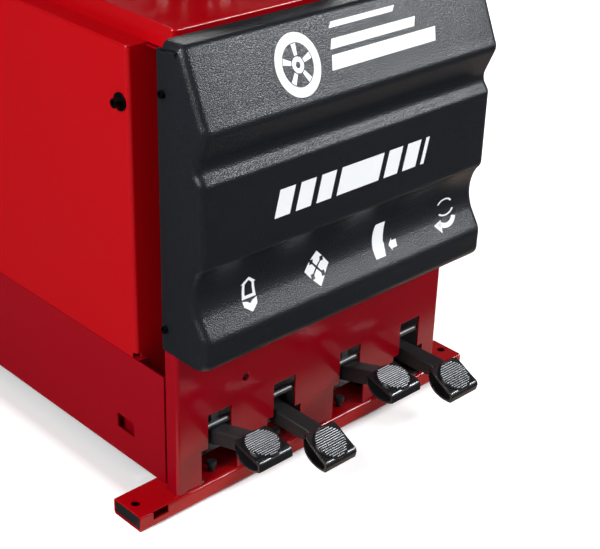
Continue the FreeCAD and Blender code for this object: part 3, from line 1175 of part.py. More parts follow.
def mount_head():
    """Duckbill tool: a socket for the shaft and a curved toe that lifts the bead over the rim."""
    socket_r = HEX_FLATS / math.sqrt(3) + HEX_SOCKET_WALL
    socket = rod_z(HEX_BOTTOM_Z - 26, HEX_BOTTOM_Z + 40, 0, ARM_FRONT_Y, socket_r)
    grip = hexagon_z(HEX_FLATS, 0, ARM_FRONT_Y, HEX_BOTTOM_Z, HEX_BOTTOM_Z + 60)
    low = MOUNT_HEAD_Z
    ring_outer = rod_z(low, low + 34, 0, ARM_FRONT_Y - 160, 190)
    ring_inner = rod_z(low - 1, low + 35, 0, ARM_FRONT_Y - 160, 152)
    sector = prism_along_z([(-62, ARM_FRONT_Y - 60), (52, ARM_FRONT_Y - 60), (70, ARM_FRONT_Y + 60),
                            (-80, ARM_FRONT_Y + 60)], low - 1, low + 40)
    toe = ring_outer.cut(ring_inner).common(sector)
    neck = box(-24, 24, ARM_FRONT_Y - 8, ARM_FRONT_Y + 28, low + 4, HEX_BOTTOM_Z - 20)
    ramp_front = ARM_FRONT_Y - 40
    ramp = prism_along_x([(ramp_front, low - 1), (ARM_FRONT_Y + 5, low - 1), (ramp_front, low + 14)], -90, 90)
    return cut(fuse([socket, neck, toe]), [grip, ramp])


def lock_grip():
    """Handle on the side of the head block, with a recess for the lock button."""
    x0 = HEAD_SIDE / 2
    x1 = x0 + GRIP_LENGTH
    z = ARM_AXIS_Z
    handle = rod_x(x0 + 10, x1, ARM_FRONT_Y, z, GRIP_R)
    handle = handle.makeFillet(4, [e for e in handle.Edges if e.CenterOfMass.x > x1 - 0.01])
    collar = rod_x(x0, x0 + 14, ARM_FRONT_Y, z, GRIP_R + 6)
    recess = rod_x(x1 - 12, x1 + 1, ARM_FRONT_Y, z, BUTTON_R + 0.35)
    return cut(fuse([handle, collar]), [recess])


def lock_button():
    """Push button in the grip's end."""
    x1 = HEAD_SIDE / 2 + GRIP_LENGTH
    button = rod_x(x1 - 12 + BUTTON_TRAVEL + 1, x1 + BUTTON_TRAVEL, ARM_FRONT_Y, ARM_AXIS_Z, BUTTON_R)
    return button.makeFillet(1.5, [e for e in button.Edges if e.CenterOfMass.x > x1 + BUTTON_TRAVEL - 0.01])


save("column_foot", column_foot())
save("column_pin", column_pin())
save("column_post", column_post())
save("tilt_cylinder", tilt_cylinder())
save("tilt_rod", tilt_rod())
save("horizontal_arm", horizontal_arm())
save("hex_shaft", hex_shaft())
save("mount_head", mount_head())
save("lock_grip", lock_grip())
save("lock_button", lock_button())


# -------------------------------------------------------------- bead breaker
def breaker_cylinder():
    """Large air cylinder lying across the cabinet, fixed to the right side."""
    z = BREAKER_Z
    y = BREAKER_CYLINDER_Y
    inner_r = BREAKER_CYLINDER_R - BREAKER_CYLINDER_WALL
    barrel = rod_x(BREAKER_BACK_X, BREAKER_FRONT_X, y, z, BREAKER_CYLINDER_R)
    chamber = rod_x(BREAKER_BACK_X + 8, BREAKER_FRONT_X - 16, y, z, inner_r)
    bore = rod_x(BREAKER_FRONT_X - 30, BREAKER_FRONT_X + 1, y, z, BREAKER_ROD_R + RUNNING_CLEARANCE)
    return barrel.cut([chamber, bore])


def breaker_rod():
    """Piston, rod and the domed nut that pulls the arm in."""
    z = BREAKER_Z
    y = BREAKER_CYLINDER_Y
    nut_x = COLLAR_X + ARM_BAR_WIDTH / 2 + 6
    start = BREAKER_BACK_X + 12
    piston_r = BREAKER_CYLINDER_R - BREAKER_CYLINDER_WALL - BREAKER_PISTON_CLEARANCE
    piston = rod_x(start, start + BREAKER_PISTON, y, z, piston_r)
    rod = rod_x(start, nut_x + 2 * BREAKER_NUT, y, z, BREAKER_ROD_R)
    nut = rod_x(nut_x, nut_x + BREAKER_NUT, y, z, BREAKER_NUT_R)
    return fuse([piston, rod, nut])


def breaker_hinge():
    """Bracket on the right side with two ears and the upright hinge pin."""
    ear_in_low = ARM_PLATE_LOW_Z - BODY_GAP
    ear_in_high = ARM_PLATE_HIGH_Z + ARM_PLATE + BODY_GAP
    margin = HINGE_BASE_MARGIN
    pieces = [box(HALF_BODY, HALF_BODY + HINGE_BASE, HINGE_Y - 38, CABINET_REAR_Y - SHEET,
                  ear_in_low - margin, ear_in_high + margin)]
    for z0, z1 in ((ear_in_low - HINGE_EAR, ear_in_low), (ear_in_high, ear_in_high + HINGE_EAR)):
        ear = box(HALF_BODY, HINGE_X, HINGE_Y - HINGE_HUB_R, HINGE_Y + HINGE_HUB_R, z0, z1)
        pieces.append(fuse([ear, rod_z(z0, z1, HINGE_X, HINGE_Y, HINGE_HUB_R)]))
    pin_past = HINGE_EAR * 1.5
    pieces.append(rod_z(ear_in_low - pin_past, ear_in_high + pin_past, HINGE_X, HINGE_Y, HINGE_PIN_R))
    return fuse(pieces)


def breaker_arm():
    """Two flat bars on one hub, joined at the blade end round the blade's hinge pin."""
    run_x = BLADE_HINGE_X - HINGE_X
    run_y = BLADE_HINGE_Y - HINGE_Y
    length = math.hypot(run_x, run_y)
    side_x = -run_y / length * ARM_BAR_WIDTH / 2
    side_y = run_x / length * ARM_BAR_WIDTH / 2
    outline = [
        (HINGE_X + side_x, HINGE_Y + side_y), (BLADE_HINGE_X + side_x, BLADE_HINGE_Y + side_y),
        (BLADE_HINGE_X - side_x, BLADE_HINGE_Y - side_y), (HINGE_X - side_x, HINGE_Y - side_y),
    ]
    pieces = []
    for low in (ARM_PLATE_LOW_Z, ARM_PLATE_HIGH_Z):
        pieces.append(prism_along_z(outline, low, low + ARM_PLATE))
        pieces.append(rod_z(low, low + ARM_PLATE, BLADE_HINGE_X, BLADE_HINGE_Y, ARM_BAR_WIDTH / 2))
    top = ARM_PLATE_HIGH_Z + ARM_PLATE
    pieces.append(rod_z(ARM_PLATE_LOW_Z, top, HINGE_X, HINGE_Y, HINGE_HUB_R))
    pieces.append(rod_z(ARM_PLATE_LOW_Z - 5, top + 5, BLADE_HINGE_X, BLADE_HINGE_Y, BLADE_PIN_R))
    handle_x = BLADE_HINGE_X + HANDLE_PLACE[0]
    handle_y = BLADE_HINGE_Y + HANDLE_PLACE[1]
    handle_top = top + HANDLE_LOW + HANDLE_LENGTH
    pieces.append(rod_z(top - 2, handle_top - 4, handle_x, handle_y, HANDLE_CORE_R))
    pieces.append(rod_z(top + HANDLE_LOW, handle_top, handle_x, handle_y, HANDLE_R))
    bore = rod_z(ARM_PLATE_LOW_Z - 1, top + 1, HINGE_X, HINGE_Y, HINGE_PIN_R + RUNNING_CLEARANCE)
    return cut(fuse(pieces), [bore])


def breaker_blade():
    """Crescent blade, its edge an arc that follows the rim, on a block at the arm's end."""
    centre_y = BLADE_HINGE_Y + BLADE_RISE - BLADE_OUTER_R
    outer_x = BLADE_HINGE_X - BLADE_BEHIND_PIN
    inner_x = outer_x - BLADE_THICKNESS
    ring = rod_x(inner_x, outer_x, centre_y, BREAKER_Z, BLADE_OUTER_R)
    ring = ring.cut(rod_x(inner_x - 1, outer_x + 1, centre_y, BREAKER_Z, BLADE_INNER_R))
    reach = BLADE_OUTER_R * 1.2
    spread = reach * math.tan(math.radians(BLADE_HALF_DEG))
    wedge = prism_along_x([(centre_y, BREAKER_Z), (centre_y + reach, BREAKER_Z - spread),
                           (centre_y + reach, BREAKER_Z + spread)], inner_x - 1, outer_x + 1)
    crescent = ring.common(wedge)
    half_gap = ARM_PLATE_GAP / 2 - BODY_GAP
    stem_half = BLADE_STEM_WIDTH / 2
    stem = box(outer_x - 2, BLADE_HINGE_X, BLADE_HINGE_Y - stem_half, BLADE_HINGE_Y + stem_half,
               BREAKER_Z - half_gap, BREAKER_Z + half_gap)
    eye = rod_z(BREAKER_Z - half_gap, BREAKER_Z + half_gap, BLADE_HINGE_X, BLADE_HINGE_Y, 17)
    hole = rod_z(BREAKER_Z - 50, BREAKER_Z + 50, BLADE_HINGE_X, BLADE_HINGE_Y, BLADE_PIN_R + RUNNING_CLEARANCE)
    return cut(fuse([crescent, stem, eye]), [hole])


def tyre_rest_pad(y):
    """Rubber pad on the right sill that the tyre leans on under the blade."""
    pad = box(HALF_BODY, HALF_BODY + REST_PAD_THICKNESS, y - REST_PAD_WIDTH / 2, y + REST_PAD_WIDTH / 2,
              REST_PAD_LOW_Z, SILL_TOP_Z - 5)
    return round_edges(pad, 4.0, lambda a, b: (along_y(a, b) or along_z(a, b)) and a.x > HALF_BODY + 1)


save("breaker_cylinder", breaker_cylinder())
save("breaker_rod", breaker_rod())
save("breaker_hinge", breaker_hinge())
save("breaker_arm", breaker_arm())
save("breaker_blade", breaker_blade())
save("tyre_rest_pads", [tyre_rest_pad(BLADE_HINGE_Y - before) for before in REST_PADS_BEFORE_BLADE])


# ---------------------------------------------------------------- air supply
def air_unit():
    """Filter-regulator and lubricator heads on a bracket, with knob and pressure gauge."""
    centre_x = AIR_X
    plate = box(HALF_BODY, HALF_BODY + 4, AIR_Y - 70, AIR_Y + 70, AIR_Z - 10, AIR_Z + 30)
    pieces = [plate]
    for side in (-1, 1):
        y = AIR_Y + side * AIR_BOWL_PITCH / 2
        pieces.append(box(HALF_BODY + 3, centre_x + 22, y - AIR_HEAD_HALF, y + AIR_HEAD_HALF,
                          AIR_Z - AIR_HEAD_LOW, AIR_Z + AIR_HEAD_HIGH))
    top = AIR_Z + AIR_HEAD_HIGH - 1
    face = centre_x + 21
    front_y = AIR_Y - AIR_BOWL_PITCH / 2
    rear_y = AIR_Y + AIR_BOWL_PITCH / 2
    inlet_y = rear_y + AIR_HEAD_HALF - 1
    pieces.append(rod_z(top, top + AIR_KNOB, centre_x, front_y, AIR_KNOB_R))
    pieces.append(rod_z(top, top + 11, centre_x, rear_y, 10))
    pieces.append(rod_y(inlet_y, inlet_y + 19, centre_x, AIR_Z, 9))
    pieces.append(rod_x(face, face + AIR_GAUGE, front_y, AIR_Z + 2, AIR_GAUGE_R))
    return fuse(pieces)


def air_bowl(side):
    """Clear bowl under a head, with its drain."""
    centre_x = AIR_X
    y = AIR_Y + side * AIR_BOWL_PITCH / 2
    top = AIR_Z - AIR_HEAD_LOW
    low = top - AIR_BOWL_LENGTH
    bowl = rod_z(low, top, centre_x, y, AIR_BOWL_R)
    bowl = bowl.makeFillet(AIR_BOWL_R / 2, [e for e in bowl.Edges if e.CenterOfMass.z < low + 0.1])
    drain = rod_z(low - 2 * AIR_DRAIN_R, low + 1, centre_x, y, AIR_DRAIN_R)
    return fuse([bowl, drain])


save("air_unit", air_unit())
save("air_bowls", [air_bowl(side) for side in (-1, 1)])
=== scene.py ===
import json
import math
import bmesh
import bpy
from mathutils import Matrix, Vector

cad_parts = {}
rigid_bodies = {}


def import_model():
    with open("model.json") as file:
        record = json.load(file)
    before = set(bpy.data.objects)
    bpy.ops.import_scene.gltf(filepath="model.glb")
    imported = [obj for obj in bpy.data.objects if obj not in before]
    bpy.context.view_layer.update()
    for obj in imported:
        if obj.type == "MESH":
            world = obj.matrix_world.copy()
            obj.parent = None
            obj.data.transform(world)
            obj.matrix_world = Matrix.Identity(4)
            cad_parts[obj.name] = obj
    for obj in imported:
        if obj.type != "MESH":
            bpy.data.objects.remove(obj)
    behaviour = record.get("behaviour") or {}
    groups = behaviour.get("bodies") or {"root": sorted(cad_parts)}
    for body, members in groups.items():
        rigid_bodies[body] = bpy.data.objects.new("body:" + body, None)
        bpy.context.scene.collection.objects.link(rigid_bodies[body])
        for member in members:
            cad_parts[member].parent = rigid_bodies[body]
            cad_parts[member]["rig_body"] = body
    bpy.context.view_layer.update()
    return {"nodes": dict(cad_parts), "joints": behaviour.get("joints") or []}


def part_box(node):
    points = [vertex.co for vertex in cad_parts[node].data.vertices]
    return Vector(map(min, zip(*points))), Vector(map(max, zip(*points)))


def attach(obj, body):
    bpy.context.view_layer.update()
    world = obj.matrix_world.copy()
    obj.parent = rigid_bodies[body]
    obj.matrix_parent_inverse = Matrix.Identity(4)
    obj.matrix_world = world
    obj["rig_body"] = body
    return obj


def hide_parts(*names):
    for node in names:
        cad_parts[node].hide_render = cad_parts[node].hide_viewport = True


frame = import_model()

# The tyre changer stands on the floor with its pedals towards -Y. Sizes are metres.

MM = 0.001
JOINTS = {joint["name"]: joint for joint in frame["joints"]}


# ------------------------------------------------------------------ shader helpers
def add(tree, kind, inputs=None, **settings):
    """Add a node; each input is either a plain value or the socket that feeds it."""
    node = tree.nodes.new(kind)
    for name, value in settings.items():
        setattr(node, name, value)
    for name, value in (inputs or {}).items():
        if isinstance(value, bpy.types.NodeSocket):
            tree.links.new(value, node.inputs[name])
        else:
            node.inputs[name].default_value = value
    return node


def math_node(tree, operation, a, b=0.0, clamp=False):
    return add(tree, "ShaderNodeMath", {0: a, 1: b}, operation=operation, use_clamp=clamp).outputs[0]


def remap(tree, value, low, high, out_low=0.0, out_high=1.0):
    """Stretch low..high of a value to out_low..out_high, held at both ends."""
    node = add(tree, "ShaderNodeMapRange", {0: value, 1: low, 2: high, 3: out_low, 4: out_high})
    return node.outputs[0]


def noise(tree, place, scale, detail=2.0, roughness=0.5):
    inputs = {"Vector": place, "Scale": scale, "Detail": detail, "Roughness": roughness}
    return add(tree, "ShaderNodeTexNoise", inputs).outputs["Fac"]


def object_place(tree):
    return add(tree, "ShaderNodeTexCoord").outputs["Object"]


def new_group(name, inputs, outputs):
    """An empty shader node group with named inputs (with defaults) and outputs."""
    tree = bpy.data.node_groups.new(name, "ShaderNodeTree")
    for label, default in inputs:
        socket = tree.interface.new_socket(label, in_out="INPUT", socket_type="NodeSocketFloat")
        socket.default_value = default
    for label in outputs:
        tree.interface.new_socket(label, in_out="OUTPUT", socket_type="NodeSocketFloat")
    return tree, tree.nodes.new("NodeGroupInput").outputs, tree.nodes.new("NodeGroupOutput").inputs


def paint_film_group():
    """Ripple of sprayed powder paint, slow shade drift and specks of dust on faces that look up."""
    tree, given, out = new_group("paint_film", [("Ripple Size", 0.006), ("Dust", 0.3)],
                                 ["Height", "Shade", "Dust Mask"])
    place = object_place(tree)
    scale = math_node(tree, "DIVIDE", 1.0, given["Ripple Size"])
    ripple = noise(tree, place, scale, 1.0)
    fine = noise(tree, place, math_node(tree, "MULTIPLY", scale, 4.0), 2.0)
    total = math_node(tree, "ADD", ripple, math_node(tree, "MULTIPLY", fine, 0.12))
    tree.links.new(total, out["Height"])
    tree.links.new(noise(tree, place, 1.7, 3.0), out["Shade"])
    normal = add(tree, "ShaderNodeNewGeometry").outputs["Normal"]
    up = add(tree, "ShaderNodeSeparateXYZ", {0: normal}).outputs["Z"]
    facing_up = remap(tree, up, 0.5, 1.0)
    specks = remap(tree, noise(tree, place, 900.0, 2.0), 0.62, 0.72)
    patches = remap(tree, noise(tree, place, 9.0, 4.0), 0.45, 0.75)
    dust = math_node(tree, "MULTIPLY", math_node(tree, "MULTIPLY", specks, patches), facing_up)
    tree.links.new(math_node(tree, "MULTIPLY", dust, given["Dust"]), out["Dust Mask"])
    return tree


def moulded_grain_group():
    """Pebbled grain of a textured moulding: rounded cells, with scattered lighter specks that are painted
    glints of light on the grain.
    """
    tree, given, out = new_group("moulded_grain", [("Grain Size", 0.0012)], ["Height", "Painted Glint", "Shade"])
    place = object_place(tree)
    scale = math_node(tree, "DIVIDE", 1.0, given["Grain Size"])
    ragged = {"Vector": place, "Scale": 420.0, "Detail": 2.0}
    wobble = add(tree, "ShaderNodeTexNoise", ragged).outputs["Color"]
    moved = add(tree, "ShaderNodeMixRGB", {0: 0.0006, 1: place, 2: wobble}, blend_type="ADD").outputs[0]
    cells = add(tree, "ShaderNodeTexVoronoi", {"Vector": moved, "Scale": scale}, feature="SMOOTH_F1")
    cells.inputs["Smoothness"].default_value = 0.6
    height = math_node(tree, "SUBTRACT", 1.0, cells.outputs["Distance"])
    tree.links.new(height, out["Height"])
    # Scattered lighter specks: painted glints, standing in for light catching the grain.
    painted_glint = remap(tree, noise(tree, place, 1500.0, 1.0), 0.60, 0.72)
    tree.links.new(painted_glint, out["Painted Glint"])
    tree.links.new(noise(tree, place, 3.0, 3.0), out["Shade"])
    return tree


def cast_skin_group():
    """Sand-cast or die-cast skin: low lumps with fine pits."""
    tree, given, out = new_group("cast_skin", [("Lump Size", 0.004), ("Pits", 0.4)], ["Height", "Shade"])
    place = object_place(tree)
    scale = math_node(tree, "DIVIDE", 1.0, given["Lump Size"])
    lumps = noise(tree, place, scale, 3.0, 0.6)
    pits = remap(tree, noise(tree, place, math_node(tree, "MULTIPLY", scale, 5.0), 1.0), 0.30, 0.42)
    pit_depth = math_node(tree, "MULTIPLY", math_node(tree, "SUBTRACT", 1.0, pits), given["Pits"])
    tree.links.new(math_node(tree, "SUBTRACT", lumps, pit_depth), out["Height"])
    tree.links.new(noise(tree, place, 14.0, 4.0), out["Shade"])
    return tree


def machined_marks_group():
    """Fine tool marks: stretched streaks along X by default, or rings round a centre when Rings is 1."""
    tree, given, out = new_group("machined_marks", [("Rings", 0.0), ("Centre Y", 0.0)], ["Height", "Shade"])
    place = object_place(tree)
    parts = add(tree, "ShaderNodeSeparateXYZ", {0: place})
    off_y = math_node(tree, "SUBTRACT", parts.outputs["Y"], given["Centre Y"])
    radius = math_node(tree, "SQRT", math_node(tree, "ADD", math_node(tree, "MULTIPLY", parts.outputs["X"],
                       parts.outputs["X"]), math_node(tree, "MULTIPLY", off_y, off_y)))
    ring_place = add(tree, "ShaderNodeCombineXYZ", {0: radius, 2: parts.outputs["Z"]}).outputs[0]
    streak_place = add(tree, "ShaderNodeMapping", {"Vector": place, "Scale": (0.02, 1.0, 1.0)}).outputs[0]
    chosen = add(tree, "ShaderNodeMix", {"Factor": given["Rings"]}, data_type="VECTOR")
    tree.links.new(streak_place, chosen.inputs[4])
    tree.links.new(ring_place, chosen.inputs[5])
    marks = noise(tree, chosen.outputs[1], 1600.0, 3.0, 0.6)
    tree.links.new(marks, out["Height"])
    tree.links.new(noise(tree, place, 22.0, 4.0), out["Shade"])
    return tree


def handling_group():
    """Smudges left by hands and cloths: soft patches crossed by thin wiping streaks."""
    tree, given, out = new_group("handling", [("Amount", 0.5)], ["Smudge"])
    place = object_place(tree)
    patches = remap(tree, noise(tree, place, 7.0, 3.0), 0.42, 0.70)
    streak_place = add(tree, "ShaderNodeMapping", {"Vector": place, "Rotation": (0.4, 0.7, 0.5),
                                                   "Scale": (1.0, 14.0, 14.0)}).outputs[0]
    streaks = remap(tree, noise(tree, streak_place, 6.0, 4.0), 0.40, 0.70)
    both = math_node(tree, "MULTIPLY", patches, streaks)
    tree.links.new(math_node(tree, "MULTIPLY", both, given["Amount"]), out["Smudge"])
    return tree


PAINT_FILM = paint_film_group()
MOULDED_GRAIN = moulded_grain_group()
CAST_SKIN = cast_skin_group()
MACHINED_MARKS = machined_marks_group()
HANDLING = handling_group()


class Finish:
    """A material with one Principled shader, made step by step."""

    def __init__(self, name, color, roughness, metallic=0.0, **constants):
        self.material = bpy.data.materials.new(name)
        self.material.use_nodes = True
        self.tree = self.material.node_tree
        self.tree.nodes.clear()
        output = self.tree.nodes.new("ShaderNodeOutputMaterial")
        self.shader = self.tree.nodes.new("ShaderNodeBsdfPrincipled")
        self.tree.links.new(self.shader.outputs[0], output.inputs["Surface"])
        self.shader.inputs["Base Color"].default_value = (*color, 1.0)
        self.shader.inputs["Roughness"].default_value = roughness
        self.shader.inputs["Metallic"].default_value = metallic
        for label, value in constants.items():
            self.shader.inputs[label.replace("_", " ")].default_value = value
        self.color = color
        self.roughness = roughness

    def group(self, tree, **values):
        node = self.tree.nodes.new("ShaderNodeGroup")
        node.node_tree = tree
        for label, value in values.items():
            node.inputs[label.replace("_", " ")].default_value = value
        return node.outputs

    def tint(self, mask, other, share=1.0):
        """Blend the base colour towards another one by a mask."""
        socket = self.shader.inputs["Base Color"]
        now = socket.links[0].from_socket if socket.links else (*self.color, 1.0)
        factor = math_node(self.tree, "MULTIPLY", mask, share)
        mix = add(self.tree, "ShaderNodeMixRGB", {0: factor, 1: now, 2: (*other, 1.0)})
        self.tree.links.new(mix.outputs[0], socket)

    def vary_roughness(self, mask, amount):
        """Raise the roughness by a mask times an amount; a negative amount lowers it."""
        socket = self.shader.inputs["Roughness"]
        now = socket.links[0].from_socket if socket.links else self.roughness
        more = math_node(self.tree, "MULTIPLY", mask, amount)
        self.tree.links.new(math_node(self.tree, "ADD", more, now, clamp=True), socket)

    def bump(self, height, distance, strength=1.0):
        socket = self.shader.inputs["Normal"]
        inputs = {"Height": height, "Distance": distance, "Strength": strength}
        if socket.links:
            inputs["Normal"] = socket.links[0].from_socket
        self.tree.links.new(add(self.tree, "ShaderNodeBump", inputs).outputs[0], socket)


def red_paint(name, color):
    finish = Finish(name, color, 0.15, Specular_IOR_Level=0.42,
                    Coat_Weight=0.12, Coat_Roughness=0.05)
    film = finish.group(PAINT_FILM, Ripple_Size=0.0055, Dust=0.25)
    finish.tint(film["Shade"], (0.78 * color[0], 0.0, 0.006), 0.45)
    finish.tint(film["Dust Mask"], (0.75, 0.62, 0.58), 0.5)
    finish.vary_roughness(finish.group(HANDLING, Amount=0.6)["Smudge"], 0.10)
    finish.bump(film["Height"], 0.00035, 0.10)
    return finish.material


def cover_plastic():
    finish = Finish("grained_black_plastic", (0.006, 0.007, 0.009), 0.30, Specular_IOR_Level=0.5)
    grain = finish.group(MOULDED_GRAIN, Grain_Size=0.0015)
    finish.tint(grain["Shade"], (0.012, 0.014, 0.018), 0.6)
    # Lighter specks in the colour: painted glints of light on the grain.
    finish.tint(grain["Painted Glint"], (0.050, 0.058, 0.075), 0.6)
    finish.vary_roughness(finish.group(HANDLING, Amount=0.5)["Smudge"], 0.08)
    finish.bump(grain["Height"], 0.00045, 0.85)
    return finish.material


def satin_casting():
    finish = Finish("satin_black_casting", (0.012, 0.012, 0.013), 0.42, Specular_IOR_Level=0.45)
    skin = finish.group(CAST_SKIN, Lump_Size=0.004, Pits=0.3)
    finish.tint(skin["Shade"], (0.022, 0.022, 0.024), 0.5)
    finish.vary_roughness(skin["Shade"], 0.12)
    finish.bump(skin["Height"], 0.0004, 0.2)
    return finish.material


def gloss_casting():
    finish = Finish("gloss_black_casting", (0.008, 0.008, 0.009), 0.20, Specular_IOR_Level=0.55,
                    Coat_Weight=0.4, Coat_Roughness=0.08)
    skin = finish.group(CAST_SKIN, Lump_Size=0.005, Pits=0.15)
    finish.tint(skin["Shade"], (0.020, 0.020, 0.022), 0.5)
    finish.vary_roughness(skin["Shade"], 0.16)
    finish.bump(skin["Height"], 0.0004, 0.12)
    return finish.material


def grip_ribs():
    # Light silver metal ribs: a painted highlight, standing in for the light that the tops of glossy black ribs
    # catch.
    finish = Finish("silver_grip_ribs_painted_highlight", (0.52, 0.53, 0.54), 0.26, 0.85)
    skin = finish.group(CAST_SKIN, Lump_Size=0.002, Pits=0.2)
    finish.tint(skin["Shade"], (0.10, 0.10, 0.105), 0.7)
    finish.vary_roughness(skin["Shade"], 0.2)
    finish.bump(skin["Height"], 0.0002, 0.2)
    return finish.material


def steel(name, color, roughness, rings=0.0, centre_y=0.0, marks=0.15):
    finish = Finish(name, color, roughness, 1.0)
    tool = finish.group(MACHINED_MARKS, Rings=rings, Centre_Y=centre_y)
    darker = tuple(c * 0.7 for c in color)
    finish.tint(tool["Shade"], darker, 0.5)
    finish.vary_roughness(tool["Height"], 0.14)
    finish.bump(tool["Height"], 0.0001, marks)
    return finish.material


def cast_metal(name, color, roughness, metallic, lump=0.003):
    finish = Finish(name, color, roughness, metallic)
    skin = finish.group(CAST_SKIN, Lump_Size=lump, Pits=0.5)
    finish.tint(skin["Shade"], tuple(c * 0.6 for c in color), 0.6)
    finish.vary_roughness(skin["Shade"], 0.15)
    finish.bump(skin["Height"], 0.0005, 0.35)
    return finish.material


def rubber(name, color, roughness):
    finish = Finish(name, color, roughness, Specular_IOR_Level=0.35)
    skin = finish.group(CAST_SKIN, Lump_Size=0.0015, Pits=0.3)
    finish.tint(skin["Shade"], tuple(c * 2.2 for c in color), 0.5)
    finish.vary_roughness(skin["Shade"], 0.12)
    finish.bump(skin["Height"], 0.0003, 0.25)
    return finish.material


def plain_plastic(name, color, roughness):
    finish = Finish(name, color, roughness, Specular_IOR_Level=0.5)
    grain = finish.group(MOULDED_GRAIN, Grain_Size=0.0008)
    finish.tint(grain["Shade"], tuple(c * 0.7 for c in color), 0.5)
    finish.vary_roughness(grain["Shade"], 0.12)
    finish.bump(grain["Height"], 0.0001, 0.2)
    return finish.material


def sign_white():
    finish = Finish("white_sign_film", (0.88, 0.89, 0.90), 0.28)
    film = finish.group(PAINT_FILM, Ripple_Size=0.004, Dust=0.1)
    finish.tint(film["Shade"], (0.80, 0.81, 0.83), 0.5)
    finish.vary_roughness(film["Shade"], 0.1)
    finish.bump(film["Height"], 0.0002, 0.1)
    return finish.material


def clear_plastic():
    finish = Finish("clear_bowl_plastic", (0.86, 0.90, 0.90), 0.06, Transmission_Weight=0.9, IOR=1.49)
    smudge = finish.group(HANDLING, Amount=0.7)["Smudge"]
    finish.tint(smudge, (0.70, 0.74, 0.72), 0.5)
    finish.vary_roughness(smudge, 0.2)
    return finish.material


TABLE_CENTRE_Y = JOINTS["turntable_spin"]["pos_m"][1]
FINISHES = {
    "red_paint": red_paint("red_powder_paint", (0.38, 0.001, 0.003)),
    # A darker copy of the red paint for the front panel and the sills: painted shade, standing in for the shade
    # that falls on these faces.
    "shaded_red_paint": red_paint("red_powder_paint_painted_shade", (0.25, 0.001, 0.006)),
    "black_cover": cover_plastic(),
    "pedal_casting": gloss_casting(),
    "lever_satin": satin_casting(),
    "grip_ribs": grip_ribs(),
    "black_plug": plain_plastic("black_end_plug", (0.012, 0.012, 0.013), 0.42),
    "black_screw": steel("blackened_screw", (0.030, 0.030, 0.032), 0.34),
    "side_bolt": steel("blackened_bolt", (0.035, 0.035, 0.038), 0.32),
    "zinc_steel": steel("zinc_plated_steel", (0.50, 0.50, 0.49), 0.34),
    "bar_steel": steel("dark_bar_steel", (0.20, 0.20, 0.205), 0.40),
    "ground_steel": steel("ground_steel", (0.58, 0.58, 0.57), 0.20),
    "spring_steel": steel("spring_steel", (0.20, 0.20, 0.21), 0.30),
    "black_rubber": rubber("black_rubber", (0.014, 0.014, 0.015), 0.62),
    "valve_alloy": cast_metal("valve_alloy", (0.48, 0.49, 0.50), 0.34, 0.9, 0.002),
    "switch_plastic": plain_plastic("grey_switch_plastic", (0.12, 0.12, 0.125), 0.45),
    "grey_castings": cast_metal("grey_painted_casting", (0.17, 0.18, 0.19), 0.48, 0.1),
    "table_steel": steel("turned_table_steel", (0.36, 0.36, 0.36), 0.30, 1.0, TABLE_CENTRE_Y, 0.3),
    "jaw_steel": cast_metal("jaw_steel", (0.30, 0.30, 0.31), 0.38, 0.9, 0.002),
    "clear_bowl": clear_plastic(),
    "button_plastic": plain_plastic("red_button_plastic", (0.45, 0.02, 0.02), 0.35),
    "white_sign": sign_white(),
}


# --------------------------------------------------------------------- mesh helpers
def new_piece(name, mesh, finish):
    piece = bpy.data.objects.new(name, mesh)
    bpy.context.scene.collection.objects.link(piece)
    mesh.materials.clear()
    mesh.materials.append(FINISHES[finish])
    return piece


def mesh_from(bm, name):
    mesh = bpy.data.meshes.new(name)
    bm.to_mesh(mesh)
    bm.free()
    return mesh


def apply_modifiers(piece):
    """Bake every modifier into the mesh and remove the modifiers."""
    depsgraph = bpy.context.evaluated_depsgraph_get()
    mesh = bpy.data.meshes.new_from_object(piece.evaluated_get(depsgraph))
    piece.modifiers.clear()
    old = piece.data
    piece.data = mesh
    bpy.data.meshes.remove(old)
    return piece


def smooth_by_angle(mesh, degrees=35.0):
    """Shade smooth, with a sharp edge wherever two faces meet at more than the angle."""
    bm = bmesh.new()
    bm.from_mesh(mesh)
    for face in bm.faces:
        face.smooth = True
    limit = math.radians(degrees)
    for edge in bm.edges:
        edge.smooth = len(edge.link_faces) == 2 and edge.calc_face_angle(0.0) < limit
    bm.to_mesh(mesh)
    bm.free()


def finish_piece(piece, body, replaced=()):
    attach(piece, body)
    if replaced:
        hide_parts(*replaced)
    return piece


def body_of(node):
    return frame["nodes"][node]["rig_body"]


def softened(node, width, finish, segments=2, angle=30.0):
    """A copy of a CAD node with its sharp edges rounded, so that they catch the light."""
    bm = bmesh.new()
    bm.from_mesh(frame["nodes"][node].data)
    bmesh.ops.remove_doubles(bm, verts=bm.verts, dist=0.00002)
    bmesh.ops.dissolve_limit(bm, angle_limit=math.radians(1.0), verts=bm.verts, edges=bm.edges)
    piece = new_piece(node + "_finished", mesh_from(bm, node + "_finished"), finish)
    bevel = piece.modifiers.new("edges", "BEVEL")
    bevel.width = width
    bevel.segments = segments
    bevel.limit_method = "ANGLE"
    bevel.angle_limit = math.radians(angle)
    bevel.use_clamp_overlap = True
    apply_modifiers(piece)
    smooth_by_angle(piece.data, 40.0)
    weighted = piece.modifiers.new("normals", "WEIGHTED_NORMAL")
    weighted.keep_sharp = True
    apply_modifiers(piece)
    return finish_piece(piece, body_of(node), [node])


